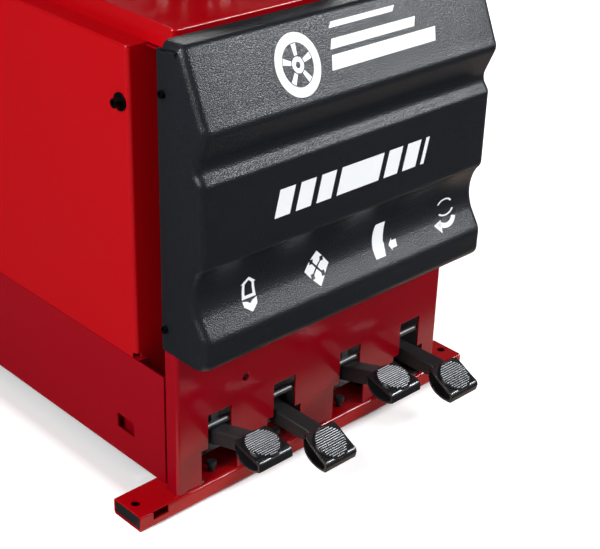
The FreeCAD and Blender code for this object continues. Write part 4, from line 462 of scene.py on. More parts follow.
def arc_points(start, through, end, steps):
    """Points on the circle through three (a, b) points, without the first one."""
    ax, ay = start
    bx, by = through
    cx, cy = end
    d = 2 * (ax * (by - cy) + bx * (cy - ay) + cx * (ay - by))
    ux = ((ax**2 + ay**2) * (by - cy) + (bx**2 + by**2) * (cy - ay) + (cx**2 + cy**2) * (ay - by)) / d
    uy = ((ax**2 + ay**2) * (cx - bx) + (bx**2 + by**2) * (ax - cx) + (cx**2 + cy**2) * (bx - ax)) / d
    first = math.atan2(ay - uy, ax - ux)
    middle = math.atan2(by - uy, bx - ux)
    last = math.atan2(cy - uy, cx - ux)
    turn = 2 * math.pi
    sweep = (last - first) % turn
    if (middle - first) % turn > sweep:
        sweep -= turn
    radius = math.hypot(ax - ux, ay - uy)
    points = []
    for step in range(1, steps + 1):
        angle = first + sweep * step / steps
        points.append((ux + radius * math.cos(angle), uy + radius * math.sin(angle)))
    return points


def line_points(start, end, steps):
    return [(start[0] + (end[0] - start[0]) * i / steps, start[1] + (end[1] - start[1]) * i / steps)
            for i in range(1, steps + 1)]


# ---------------------------------------------------------------------- front cover
COVER_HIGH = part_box("front_cover")[1]
COVER_WALL = 4 * MM
COVER_CORNER = 13 * MM
# The side outline from the top lip down to the chin, as (y, z) in millimetres: a pair is a straight
# stretch to that point, two pairs are an arc through the first to the second.
COVER_START = (-346, 722)
COVER_OUTLINE = [
    [(-375, 722)],
    [(-380, 720), (-383.5, 715.5)],
    [(-423.5, 627)],
    [(-426.8, 616), (-424.6, 608.5)],
    [(-410.6, 576)],
    [(-409.2, 566.5), (-411.6, 557.8)],
    [(-417.8, 550.2)],
    [(-419.6, 546.8), (-420.2, 541)],
    [(-420.6, 432)],
    [(-419, 426), (-414.5, 420.5)],
    [(-402.6, 386), (-409.6, 349)],
    [(-423.6, 327)],
    [(-427.6, 319), (-428.4, 310)],
    [(-428.2, 290)],
    [(-426, 279.5), (-420, 274)],
]


def cover_profile():
    points = [COVER_START]
    for stretch in COVER_OUTLINE:
        if len(stretch) == 1:
            length = math.dist(points[-1], stretch[0])
            points += line_points(points[-1], stretch[0], max(2, round(length / 12)))
        else:
            length = math.dist(points[-1], stretch[0]) + math.dist(*stretch)
            points += arc_points(points[-1], *stretch, max(6, round(length / 3)))
    return [(y * MM, z * MM) for y, z in points]


COVER_PROFILE = cover_profile()


def cover_y(z):
    """How far forward the cover's face is at a height."""
    for (y0, z0), (y1, z1) in zip(COVER_PROFILE, COVER_PROFILE[1:]):
        if z1 <= z <= z0 and z0 - z1 > 1e-7:
            return y0 + (y1 - y0) * (z0 - z) / (z0 - z1)
    return COVER_PROFILE[-1][0]


def front_cover():
    """One moulded shell: the outline run across the machine, round corners into both side walls."""
    half = COVER_HIGH.x
    radius = COVER_CORNER
    corner_steps = 8
    flat_columns = 10
    columns = []
    for step in range(corner_steps + 1):
        angle = math.pi / 2 * (1 - step / corner_steps)
        columns.append((-(half - radius + radius * math.sin(angle)), radius * (1 - math.cos(angle))))
    for step in range(1, flat_columns):
        columns.append(((half - radius) * (2 * step / flat_columns - 1), 0.0))
    columns += [(-x, inset) for x, inset in reversed(columns[:corner_steps + 1])]
    rear_y = COVER_HIGH.y
    bm = bmesh.new()
    rows = []
    top = COVER_START[1] * MM
    lip_end_z = COVER_OUTLINE[1][1][1] * MM
    for y, z in COVER_PROFILE:
        top_share = min(1.0, max(0.0, (z - lip_end_z) / (top - lip_end_z)))
        in_y = math.cos(top_share * math.pi / 2)
        in_z = -math.sin(top_share * math.pi / 2)
        row = [bm.verts.new((-half, rear_y, min(z, top - radius)))]
        row += [bm.verts.new((x, y + in_y * inset, z + in_z * inset)) for x, inset in columns]
        row.append(bm.verts.new((half, rear_y, min(z, top - radius))))
        rows.append(row)
    for upper, lower in zip(rows, rows[1:]):
        for j in range(len(upper) - 1):
            bm.faces.new((upper[j], lower[j], lower[j + 1], upper[j + 1]))
    bmesh.ops.remove_doubles(bm, verts=bm.verts, dist=1e-6)
    bmesh.ops.dissolve_degenerate(bm, dist=1e-7, edges=bm.edges)
    bmesh.ops.recalc_face_normals(bm, faces=bm.faces)
    middle = [f for f in bm.faces if abs(f.calc_center_median().x) < 0.05]
    if sum(f.normal.y for f in middle) > 0:
        bmesh.ops.reverse_faces(bm, faces=bm.faces)
    piece = new_piece("front_cover_shell", mesh_from(bm, "front_cover_shell"), "black_cover")
    wall = piece.modifiers.new("wall", "SOLIDIFY")
    wall.thickness = COVER_WALL
    wall.offset = -1.0
    wall.use_even_offset = False
    edge = piece.modifiers.new("edges", "BEVEL")
    edge.width = 0.6 * MM
    edge.segments = 2
    edge.limit_method = "ANGLE"
    edge.angle_limit = math.radians(50)
    apply_modifiers(piece)
    smooth_by_angle(piece.data, 45.0)
    return finish_piece(piece, body_of("front_cover"), ["front_cover"])


# -------------------------------------------------------------------- cover signs
def sign_on_cover(name, outlines, lift=0.35 * MM):
    """Flat white shapes given as (x, z) outlines in millimetres, laid on the cover's curved face."""
    bm = bmesh.new()
    for outline in outlines:
        verts = [bm.verts.new((x * MM, 0.0, z * MM)) for x, z in outline]
        bm.faces.new(verts)
    bmesh.ops.recalc_face_normals(bm, faces=bm.faces)
    for face in bm.faces:
        if face.normal.y > 0:
            face.normal_flip()
    lows = [v.co.z for v in bm.verts]
    step = 3 * MM
    for i in range(1, int((max(lows) - min(lows)) / step) + 1):
        geom = list(bm.verts) + list(bm.edges) + list(bm.faces)
        bmesh.ops.bisect_plane(bm, geom=geom, plane_co=(0, 0, min(lows) + i * step), plane_no=(0, 0, 1))
    back = list(bm.faces)
    extruded = bmesh.ops.extrude_face_region(bm, geom=back)
    raised = {v for v in extruded["geom"] if isinstance(v, bmesh.types.BMVert)}
    for vert in bm.verts:
        vert.co.y = cover_y(vert.co.z) - (lift if vert in raised else -0.05 * MM)
    bmesh.ops.recalc_face_normals(bm, faces=bm.faces)
    piece = new_piece(name, mesh_from(bm, name), "white_sign")
    smooth_by_angle(piece.data, 30.0)
    return finish_piece(piece, body_of("front_cover"))


def circle_outline(cx, cz, radius, count=40, start=0.0, sweep=2 * math.pi, squash=1.0):
    total = count if abs(sweep - 2 * math.pi) < 1e-6 else count + 1
    angles = [start + sweep * i / count for i in range(total)]
    return [(cx + radius * math.cos(angle), cz + squash * radius * math.sin(angle)) for angle in angles]


def band_outline(cx, cz, inner, outer, start, sweep, count=18, squash=1.0):
    out = circle_outline(cx, cz, outer, count, start, sweep, squash)
    back = circle_outline(cx, cz, inner, count, start, sweep, squash)
    if abs(sweep - 2 * math.pi) < 1e-6:
        out.append(out[0])
        back.append(back[0])
    return out + back[::-1]


def ring_outlines(cx, cz, inner, outer, pieces=4):
    """A ring as touching sectors, because one outline can't hold a hole."""
    sweep = 2 * math.pi / pieces
    return [band_outline(cx, cz, inner, outer, sweep * i, sweep, 12) for i in range(pieces)]


def turned_outline(outline, cx, cz, degrees):
    c = math.cos(math.radians(degrees))
    s = math.sin(math.radians(degrees))
    return [(cx + (x - cx) * c - (z - cz) * s, cz + (x - cx) * s + (z - cz) * c) for x, z in outline]


def placed(outlines, cx, cz, lean):
    """Put a sign drawn round (0, 0) in its place, with its rows slid sideways by the lean."""
    return [[(cx + x + lean * z, cz + z) for x, z in outline] for outline in outlines]


def tilt_sign(cx, cz):
    """Hollow house-shaped arrow up over a solid pennant down."""
    outer = [(-13, -3), (-11, 17), (-14, 17), (0, 26), (13, 17), (10, 17), (12, -3)]
    inner = [(-8, 1), (-7, 16.5), (0, 21.5), (6, 16.5), (7, 1)]
    left = [outer[0], outer[1], outer[2], outer[3], inner[2], inner[1], inner[0]]
    right = [outer[6], inner[4], inner[3], inner[2], outer[3], outer[4], outer[5]]
    foot = [outer[0], inner[0], inner[4], outer[6]]
    down = [(-13, -5), (-12, -12), (0, -20), (12, -12), (13, -5), (5, -7), (0, -10), (-5, -7)]
    return placed([left, right, foot, down], cx, cz, 0.12)


def clamp_sign(cx, cz):
    """Four wide stubby arrows with thin dark gaps between them."""
    arrow = [(0, 2.2), (6.5, 8.4), (6.5, 13.5), (11.5, 13.5), (0, 24), (-11.5, 13.5), (-6.5, 13.5), (-6.5, 8.4)]
    return placed([turned_outline(arrow, 0, 0, 90 * i) for i in range(4)], cx, cz, 0.12)


def breaker_sign(cx, cz):
    """A tyre's side seen from the edge, with a small arrow that pushes against it."""
    tyre = [(-14, 27), (6, 27), (6, -2), (8, -5), (8, -21), (-12, -21)]
    tyre += arc_points((-12, -21), (-17, 3), (-14, 27), 12)[:-1]
    arrow = [(17, -10), (24, -2), (24, -5.5), (34, -5.5), (34, -15), (24, -15), (24, -18)]
    return placed([tyre, arrow], cx, cz, 0.26)


def rotation_sign(cx, cz):
    """Three sweeps round the turntable: a thin eyebrow, a thin middle one and a thick one with a head."""
    brow = band_outline(0, 12, 14, 17.5, math.radians(25), math.radians(135), 14, 0.62)
    middle = band_outline(2, 6, 15, 19, math.radians(215), math.radians(130), 14, 0.55)
    lower = band_outline(1, -3, 15, 24, math.radians(215), math.radians(125), 16, 0.72)
    head = [(-27, -12), (-13, -25), (-10, -8)]
    return placed([brow, middle, lower, head], cx, cz, 0.12)


def signs():
    row_z = 356
    sign_on_cover("sign_tilt", tilt_sign(-190, row_z))
    sign_on_cover("sign_clamp", clamp_sign(-61, row_z))
    sign_on_cover("sign_breaker", breaker_sign(70, row_z))
    sign_on_cover("sign_rotation", rotation_sign(215, row_z + 2))
    bars = []
    x = -158
    for width in (34, 34, 34, 90, 34, 34, 13):
        bars.append([(x, 467), (x + width - 6, 467), (x + width + 4, 507), (x + 10, 507)])
        x += width + 5
    sign_on_cover("sign_stripe", bars)
    wheel_x = -108
    wheel_z = 668
    wheel = ring_outlines(wheel_x, wheel_z, 27, 39) + ring_outlines(wheel_x, wheel_z, 4, 10)
    for spoke in range(5):
        angle = 90 + 72 * spoke
        bar = [(wheel_x + 11.5, wheel_z - 2.6), (wheel_x + 25.5, wheel_z - 4), (wheel_x + 25.5, wheel_z + 4),
               (wheel_x + 11.5, wheel_z + 2.6)]
        wheel.append(turned_outline(bar, wheel_x, wheel_z, angle))
    sign_on_cover("sign_wheel", wheel)
    stripes = []
    for index, (length, thickness) in enumerate(((205, 18), (170, 12), (135, 7))):
        z = 650 + index * 25
        left = -52 + index * 6
        right = -52 + length
        stripes.append([(left, z), (right, z), (right + 6, z + thickness), (left + 6, z + thickness)])
    sign_on_cover("sign_bars", stripes)


# -------------------------------------------------------------------------- pedals
PEDAL_JOINTS = ("column_tilt_pedal", "clamping_pedal", "bead_breaker_pedal", "rotation_pedal")
PEDAL_RAISED_DEG = (17.0, 0.0, 17.0, 1.0)
PIVOT = Vector(JOINTS[PEDAL_JOINTS[0]]["pos_m"])
LEVER_HALF = 14.5 * MM
LEVER_REACH = 147 * MM
LEVER_TAIL = 46 * MM
LEVER_ABOVE = 15 * MM
LEVER_BELOW = 10 * MM
HUB_R = 18 * MM
PAD_HALF = 32 * MM
PAD_LENGTH = 62 * MM
PAD_WALL = 4 * MM
PAD_BACK_Y = PIVOT.y - LEVER_REACH + 4 * MM
PAD_BASE_Z = PIVOT.z + 5 * MM
GRIP_R = 27.5 * MM
GRIP_SLOPE_DEG = 30.0
PAD_PEAK = (0.22, 13 * MM)
PAD_MIDDLE = (0.6, -0.5 * MM)


def pad_point(share, height):
    return (PAD_BACK_Y - PAD_LENGTH * share, PAD_BASE_Z + height)


def pad_outline(inset):
    """Leaf-shaped side outline of the hollow pad, drawn level; inset 1 gives the hollow."""
    wall = PAD_WALL * inset
    back = pad_point(0.10 * inset, 0.0)
    rise = pad_point(PAD_PEAK[0] * 0.4 + 0.05 * inset, PAD_PEAK[1] * 0.72 - wall)
    peak = pad_point(PAD_PEAK[0], PAD_PEAK[1] - wall)
    middle = pad_point(PAD_MIDDLE[0], PAD_MIDDLE[1] - 1.1 * wall)
    lip = pad_point(0.88 - 0.05 * inset, -9.0 * MM - wall)
    nose = pad_point(0.965 - 0.06 * inset, -12.6 * MM - 0.8 * wall)
    front_top = pad_point(0.99 - 0.07 * inset, -18.5 * MM - 0.3 * wall)
    front_low = pad_point(0.955 - 0.06 * inset, -28 * MM + wall)
    low = pad_point(0.62, -28 * MM + wall)
    points = arc_points(back, rise, peak, 14)
    points += arc_points(peak, middle, lip, 16)
    points += arc_points(lip, nose, front_top, 8)
    points += line_points(front_top, front_low, 8)
    points += arc_points(front_low, low, back, 28)
    return points


def pad_half_width(y):
    """Half the pad's width: it swells in a half round from the lever, then runs parallel to the lip."""
    along = (PAD_BACK_Y - y) / PAD_LENGTH
    round_end = 0.42
    if along >= round_end:
        return PAD_HALF
    rise = math.sqrt(max(0.0, 1 - (1 - max(0.0, along) / round_end) ** 2))
    return 18 * MM + (PAD_HALF - 18 * MM) * rise


def pad_mesh(x):
    bm = bmesh.new()
    columns = 12
    outer = pad_outline(0.0)
    inner = pad_outline(1.0)
    loops = []
    for outline in (outer, inner):
        rows = []
        for y, z in outline:
            half = pad_half_width(y)
            rows.append([bm.verts.new((x + half * (2 * j / columns - 1), y, z)) for j in range(columns + 1)])
        loops.append(rows)
    count = len(outer)
    for rows, flip in ((loops[0], False), (loops[1], True)):
        for i in range(count):
            here = rows[i]
            after = rows[(i + 1) % count]
            for j in range(columns):
                quad = (here[j], after[j], after[j + 1], here[j + 1])
                bm.faces.new(quad[::-1] if flip else quad)
    for i in range(count):
        after = (i + 1) % count
        for j in (0, columns):
            bm.faces.new((loops[0][i][j], loops[0][after][j], loops[1][after][j], loops[1][i][j]))
    bmesh.ops.recalc_face_normals(bm, faces=bm.faces)
    return bm


def lever_mesh(x):
    """Lever bar with its tail, drawn level; the hub is a piece of its own."""
    bm = bmesh.new()
    back_y = PIVOT.y + LEVER_TAIL
    front_y = PIVOT.y - LEVER_REACH - 6 * MM
    top = PIVOT.z + LEVER_ABOVE
    low = PIVOT.z - LEVER_BELOW
    outline = [(front_y, PIVOT.z - 3 * MM), (front_y, PIVOT.z + 9 * MM), (front_y + 12 * MM, top),
               (back_y, top), (back_y, low), (PIVOT.y - LEVER_REACH + 18 * MM, low)]
    left = [bm.verts.new((x - LEVER_HALF, y, z)) for y, z in outline]
    right = [bm.verts.new((x + LEVER_HALF, y, z)) for y, z in outline]
    bm.faces.new(left)
    bm.faces.new(right[::-1])
    for i in range(len(outline)):
        j = (i + 1) % len(outline)
        bm.faces.new((left[i], left[j], right[j], right[i]))
    bmesh.ops.recalc_face_normals(bm, faces=bm.faces)
    return bm


def hub_mesh(x):
    bm = bmesh.new()
    turn = Matrix.Rotation(math.pi / 2, 4, "Y")
    place = Matrix.Translation((x, PIVOT.y, PIVOT.z)) @ turn
    bmesh.ops.create_cone(bm, cap_ends=True, segments=40, radius1=HUB_R, radius2=HUB_R,
                          depth=2 * LEVER_HALF + 2 * MM, matrix=place)
    return bm


def union(name, pieces, finish):
    """Join closed meshes into one skin."""
    whole = pieces[0]
    for other in pieces[1:]:
        join = whole.modifiers.new("join", "BOOLEAN")
        join.operation = "UNION"
        join.solver = "EXACT"
        join.object = other
        apply_modifiers(whole)
        bpy.data.objects.remove(other)
    whole.name = name
    whole.data.name = name
    whole.data.materials.clear()
    whole.data.materials.append(FINISHES[finish])
    return whole


def round_edges(piece, width, segments, angle):
    bevel = piece.modifiers.new("edges", "BEVEL")
    bevel.width = width
    bevel.segments = segments
    bevel.limit_method = "ANGLE"
    bevel.angle_limit = math.radians(angle)
    apply_modifiers(piece)
    return piece


def geometry_tree(name, inputs):
    """An empty geometry tree with an input mesh, named inputs and a material input."""
    tree = bpy.data.node_groups.new(name, "GeometryNodeTree")
    tree.interface.new_socket("Geometry", in_out="INPUT", socket_type="NodeSocketGeometry")
    for label, kind, default in inputs:
        socket = tree.interface.new_socket(label, in_out="INPUT", socket_type="NodeSocket" + kind)
        if default is not None:
            socket.default_value = default
    tree.interface.new_socket("Material", in_out="INPUT", socket_type="NodeSocketMaterial")
    tree.interface.new_socket("Geometry", in_out="OUTPUT", socket_type="NodeSocketGeometry")
    return tree, tree.nodes.new("NodeGroupInput").outputs, tree.nodes.new("NodeGroupOutput").inputs


def end_tree(tree, geometry, given, out):
    """Every tree ends with real geometry that carries its material."""
    real = add(tree, "GeometryNodeRealizeInstances", {0: geometry}).outputs[0]
    dressed = add(tree, "GeometryNodeSetMaterial", {0: real})
    tree.links.new(given["Material"], dressed.inputs["Material"])
    tree.links.new(dressed.outputs[0], out["Geometry"])


def grown(name, tree, finish, start=None, **values):
    """Run a geometry tree on a start mesh and return the result as a plain mesh piece."""
    piece = new_piece(name, start or bpy.data.meshes.new(name), finish)
    modifier = piece.modifiers.new("nodes", "NODES")
    modifier.node_group = tree
    sockets = {item.name: item.identifier for item in tree.interface.items_tree if item.in_out == "INPUT"}
    for label, value in values.items():
        modifier[sockets[label.replace("_", " ")]] = value
    modifier[sockets["Material"]] = FINISHES[finish]
    apply_modifiers(piece)
    return piece


def rib_disc_tree():
    """Cross ribs inside a circle: whole bars on the rear half, short blocks on the front half."""
    tree, given, out = geometry_tree("grip_rib_disc", [("Radius", "Float", 0.027), ("Pitch", "Float", 0.0033),
                                     ("Rib Width", "Float", 0.0018), ("Rib Height", "Float", 0.0009)])
    radius = given["Radius"]
    pitch = given["Pitch"]
    width = math_node(tree, "MULTIPLY", radius, 2.0)
    rows = math_node(tree, "FLOOR", math_node(tree, "DIVIDE", width, pitch))
    span = math_node(tree, "MULTIPLY", math_node(tree, "SUBTRACT", rows, 1.0), pitch)

    def bars(grid_points, block_length, keep):
        """Scale an eight-sided bar along X at every kept point."""
        bar = add(tree, "GeometryNodeMeshCylinder", {"Vertices": 8, "Radius": 0.5, "Depth": 1.0})
        lying = add(tree, "GeometryNodeTransform", {"Geometry": bar.outputs["Mesh"],
                                                    "Rotation": (0.0, math.pi / 2, 0.0)}).outputs[0]
        scale = add(tree, "ShaderNodeCombineXYZ", {0: block_length, 1: given["Rib Width"]})
        tree.links.new(math_node(tree, "MULTIPLY", given["Rib Height"], 2.0), scale.inputs[2])
        placed = add(tree, "GeometryNodeInstanceOnPoints", {"Points": grid_points, "Instance": lying,
                                                            "Scale": scale.outputs[0]})
        tree.links.new(keep, placed.inputs["Selection"])
        return placed.outputs[0]

    position = add(tree, "ShaderNodeSeparateXYZ")
    tree.links.new(add(tree, "GeometryNodeInputPosition").outputs[0], position.inputs[0])
    x = position.outputs["X"]
    y = position.outputs["Y"]
    radius_squared = math_node(tree, "MULTIPLY", radius, radius)
    inside = math_node(tree, "SUBTRACT", radius_squared, math_node(tree, "MULTIPLY", y, y))
    chord = math_node(tree, "MULTIPLY", 2.0, math_node(tree, "SQRT", math_node(tree, "MAXIMUM", inside, 0.0)))
    line = add(tree, "GeometryNodeMeshLine", {"Count": 1, "Offset": (0, 0, 0)})
    line.mode = "END_POINTS"
    tree.links.new(rows, line.inputs["Count"])
    low = add(tree, "ShaderNodeCombineXYZ", {1: math_node(tree, "MULTIPLY", span, -0.5)}).outputs[0]
    high = add(tree, "ShaderNodeCombineXYZ", {1: math_node(tree, "MULTIPLY", span, 0.5)}).outputs[0]
    tree.links.new(low, line.inputs["Start Location"])
    tree.links.new(high, line.inputs["Offset"])
    compare = {"data_type": "FLOAT", "operation": "GREATER_THAN"}
    rear = add(tree, "FunctionNodeCompare", {0: y, 1: 0.0}, **compare).outputs[0]
    whole_bars = bars(line.outputs[0], chord, rear)
    grid = add(tree, "GeometryNodeMeshGrid", {"Size X": span, "Size Y": span})
    tree.links.new(rows, grid.inputs["Vertices X"])
    tree.links.new(rows, grid.inputs["Vertices Y"])
    reach = math_node(tree, "SQRT", math_node(tree, "ADD", math_node(tree, "MULTIPLY", x, x),
                                              math_node(tree, "MULTIPLY", y, y)))
    limit = math_node(tree, "SUBTRACT", radius, math_node(tree, "MULTIPLY", pitch, 0.45))
    within = math_node(tree, "LESS_THAN", reach, limit)
    front = math_node(tree, "LESS_THAN", y, 0.00001)
    blocks = bars(grid.outputs["Mesh"], math_node(tree, "MULTIPLY", pitch, 0.80),
                  math_node(tree, "MULTIPLY", within, front))
    joined = add(tree, "GeometryNodeJoinGeometry")
    tree.links.new(whole_bars, joined.inputs[0])
    tree.links.new(blocks, joined.inputs[0])
    end_tree(tree, joined.outputs[0], given, out)
    return tree


RIB_DISC = rib_disc_tree()


def weld_tree():
    """Runs of overlapping beads along X, one run at every point of the start mesh."""
    tree, given, out = geometry_tree("weld_runs", [("Run", "Float", 0.03), ("Pitch", "Float", 0.0022),
                                                   ("Bead", "Float", 0.0024)])
    count = math_node(tree, "FLOOR", math_node(tree, "DIVIDE", given["Run"], given["Pitch"]))
    line = add(tree, "GeometryNodeMeshLine", {"Count": 1})
    tree.links.new(count, line.inputs["Count"])
    start = add(tree, "ShaderNodeCombineXYZ", {0: math_node(tree, "MULTIPLY", given["Run"], -0.5)}).outputs[0]
    tree.links.new(start, line.inputs["Start Location"])
    tree.links.new(add(tree, "ShaderNodeCombineXYZ", {0: given["Pitch"]}).outputs[0], line.inputs["Offset"])
    ball = add(tree, "GeometryNodeMeshIcoSphere", {"Radius": given["Bead"], "Subdivisions": 2})
    size = add(tree, "FunctionNodeRandomValue", data_type="FLOAT")
    size.inputs[2].default_value = 0.8
    size.inputs[3].default_value = 1.1
    flat = add(tree, "ShaderNodeCombineXYZ", {0: size.outputs[1], 1: size.outputs[1], 2: 0.7}).outputs[0]
    beads = add(tree, "GeometryNodeInstanceOnPoints",
                {"Points": line.outputs[0], "Instance": ball.outputs["Mesh"], "Scale": flat})
    run = add(tree, "GeometryNodeRealizeInstances", {0: beads.outputs[0]}).outputs[0]
    runs = add(tree, "GeometryNodeInstanceOnPoints", {"Points": given["Geometry"], "Instance": run})
    end_tree(tree, runs.outputs[0], given, out)
    return tree


def welds():
    """Short weld runs where the front panel stands on the front rail."""
    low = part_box("front_panel")[0]
    rail_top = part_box("front_rail")[1].z
    places = bpy.data.meshes.new("weld_places")
    places.from_pydata([(x * MM, low.y - 0.5 * MM, rail_top + 0.4 * MM) for x in WELD_X], [], [])
    beads = grown("panel_welds", weld_tree(), "red_paint", places, Run=26 * MM, Pitch=2.2 * MM, Bead=2.2 * MM)
    smooth_by_angle(beads.data, 60.0)
    finish_piece(beads, body_of("front_panel"))


WELD_X = (-248, -127, 15, 128, 254)
GRIP_TOP = 3.0 * MM
GRIP_RIM = 0.9 * MM
RIB_PITCH = 3.6 * MM
RIB_WIDTH = 2.0 * MM
RIB_HEIGHT = 0.9 * MM


def lay_on_pad(mesh, x):
    """Turn a flat round detail onto the slope of a level pad."""
    y, z = pad_point(*PAD_MIDDLE)
    slope = Matrix.Rotation(math.radians(GRIP_SLOPE_DEG), 4, "X")
    mesh.transform(Matrix.Translation((x, y, z)) @ slope @ Matrix.Translation((0, 0, GRIP_TOP)))


def grip_disc_mesh():
    """Round plate with a rounded rim and a shallow step inside it."""
    bm = bmesh.new()
    centre = bm.verts.new((0, 0, 0))
    rings = [(GRIP_R - GRIP_RIM, 0.0), (GRIP_R - 0.7 * MM, 0.4 * MM), (GRIP_R - 0.2 * MM, 0.5 * MM),
             (GRIP_R + 0.2 * MM, 0.2 * MM), (GRIP_R + 0.4 * MM, -0.5 * MM), (GRIP_R + 0.4 * MM, -4.5 * MM)]
    count = 48
    circles = []
    for radius, z in rings:
        circles.append([bm.verts.new((radius * math.cos(2 * math.pi * i / count),
                                      radius * math.sin(2 * math.pi * i / count), z)) for i in range(count)])
    for i in range(count):
        bm.faces.new((centre, circles[0][i], circles[0][(i + 1) % count]))
    for inner, outer in zip(circles, circles[1:]):
        for i in range(count):
            j = (i + 1) % count
            bm.faces.new((inner[i], outer[i], outer[j], inner[j]))
    bm.faces.new([circles[-1][i] for i in reversed(range(count))])
    bmesh.ops.recalc_face_normals(bm, faces=bm.faces)
    return mesh_from(bm, "grip_disc")


def pedal(index):
    """Lever and hub joined into one arm, hollow pad and round grip plate joined into one loop, with the ribs on
    top.
    """
    number = index + 1
    low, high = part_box("pedal_lever_%d" % number)
    x = (low.x + high.x) / 2
    body = body_of("pedal_lever_%d" % number)
    turn = Matrix.Translation(PIVOT) @ Matrix.Rotation(-math.radians(PEDAL_RAISED_DEG[index]), 4, "X")
    turn = turn @ Matrix.Translation(-PIVOT)
    lever = new_piece("lever", mesh_from(lever_mesh(x), "lever"), "lever_satin")
    round_edges(lever, 3.5 * MM, 4, 30)
    hub = new_piece("hub", mesh_from(hub_mesh(x), "hub"), "lever_satin")
    round_edges(hub, 1.0 * MM, 2, 50)
    arm = union("pedal_%d_arm" % number, [lever, hub], "lever_satin")
    pad = new_piece("pad", mesh_from(pad_mesh(x), "pad"), "pedal_casting")
    round_edges(pad, 1.0 * MM, 3, 50)
    disc_mesh = grip_disc_mesh()
    lay_on_pad(disc_mesh, x)
    disc = new_piece("disc", disc_mesh, "pedal_casting")
    loop = union("pedal_%d_loop" % number, [pad, disc], "pedal_casting")
    ribs = grown("pedal_%d_grip_ribs" % number, RIB_DISC, "grip_ribs", Radius=GRIP_R - GRIP_RIM,
                 Pitch=RIB_PITCH, Rib_Width=RIB_WIDTH, Rib_Height=RIB_HEIGHT)
    lay_on_pad(ribs.data, x)
    for piece, angle in ((arm, 38.0), (loop, 38.0), (ribs, 50.0)):
        piece.data.transform(turn)
        smooth_by_angle(piece.data, angle)
    finish_piece(arm, body, ["pedal_lever_%d" % number])
    finish_piece(loop, body, ["pedal_pad_%d" % number])
    finish_piece(ribs, body)


# ------------------------------------------------------------ light, floor, camera
def studio_floor():
    """A pale sweep. In mirror-like reflections it is dim, apart from the lit strip by the machine's feet."""
    bm = bmesh.new()
    bmesh.ops.create_grid(bm, x_segments=1, y_segments=1, size=14.0)
    mesh = mesh_from(bm, "studio_floor")
    material = bpy.data.materials.new("pale_floor")
    material.use_nodes = True
    tree = material.node_tree
    shader = tree.nodes["Principled BSDF"]
    place = add(tree, "ShaderNodeSeparateXYZ", {0: object_place(tree)})
    near_front = remap(tree, place.outputs["Y"], *LIT_STRIP_Y)
    near_left = remap(tree, place.outputs["X"], *LIT_STRIP_LEFT)
    before_sill = remap(tree, place.outputs["Y"], *SILL_FRONT_EDGE)
    lit = math_node(tree, "MULTIPLY", math_node(tree, "MULTIPLY", near_front, near_left), before_sill)
    seen = add(tree, "ShaderNodeMixRGB", {0: lit, 1: (*FLOOR_DIM, 1.0), 2: (*FLOOR_LIT, 1.0)}).outputs[0]
    path = add(tree, "ShaderNodeLightPath").outputs
    chosen = {0: path["Is Glossy Ray"], 1: (*FLOOR_COLOR, 1.0), 2: seen}
    color = add(tree, "ShaderNodeMixRGB", chosen).outputs[0]
    beside = remap(tree, math_node(tree, "ABSOLUTE", place.outputs["X"]), *CABINET_SIDE_EDGE)
    before = remap(tree, math_node(tree, "ABSOLUTE", place.outputs["Y"]), *CABINET_END_EDGE)
    open_floor = math_node(tree, "MAXIMUM", beside, before)
    seen_open = math_node(tree, "MULTIPLY", path["Is Camera Ray"], open_floor)
    glow = math_node(tree, "MULTIPLY", seen_open, FLOOR_GLOW)
    shader.inputs["Emission Color"].default_value = (1.0, 1.0, 1.0, 1.0)
    tree.links.new(glow, shader.inputs["Emission Strength"])
    tree.links.new(color, shader.inputs["Base Color"])
    shader.inputs["Roughness"].default_value = 0.75
    shader.inputs["Specular IOR Level"].default_value = 0.0
    plane = bpy.data.objects.new("studio_floor", mesh)
    mesh.materials.append(material)
    bpy.context.scene.collection.objects.link(plane)
    plane.location.z = -0.5 * MM


FLOOR_COLOR = (0.90, 0.90, 0.90)
FLOOR_GLOW = 0.55
# Each pair says where a soft edge on the floor starts and ends, in metres.
LIT_STRIP_Y = (-0.53, -0.47)
LIT_STRIP_LEFT = (-0.55, -0.45)
SILL_FRONT_EDGE = (-0.335, -0.355)
CABINET_SIDE_EDGE = (0.30, 0.34)
CABINET_END_EDGE = (0.355, 0.375)
FLOOR_DIM = (0.03, 0.03, 0.03)
FLOOR_LIT = (0.75, 0.60, 0.50)


def softbox(name, place, target, size, power, color=(1, 1, 1)):
    """A rectangular studio light that looks at a point."""
    data = bpy.data.lights.new(name, "AREA")
    data.shape = "RECTANGLE"
    data.size, data.size_y = size
    data.energy = power
    data.color = color
    lamp = bpy.data.objects.new(name, data)
    bpy.context.scene.collection.objects.link(lamp)
    lamp.location = place
    lamp.rotation_euler = (Vector(target) - Vector(place)).to_track_quat("-Z", "Y").to_euler()
    return lamp


def studio_world():
    """Even fill light for matt surfaces, dim in glossy reflections."""
    world = bpy.data.worlds.new("studio")
    bpy.context.scene.world = world
    world.use_nodes = True
    tree = world.node_tree
    background = tree.nodes["Background"]
    glossy = add(tree, "ShaderNodeLightPath").outputs["Is Glossy Ray"]
    tree.links.new(remap(tree, glossy, 0.0, 1.0, FILL_STRENGTH, MIRRORED_FILL), background.inputs[1])
    background.inputs[0].default_value = (1.0, 1.0, 1.0, 1.0)


FILL_STRENGTH = 0.32
MIRRORED_FILL = 0.04


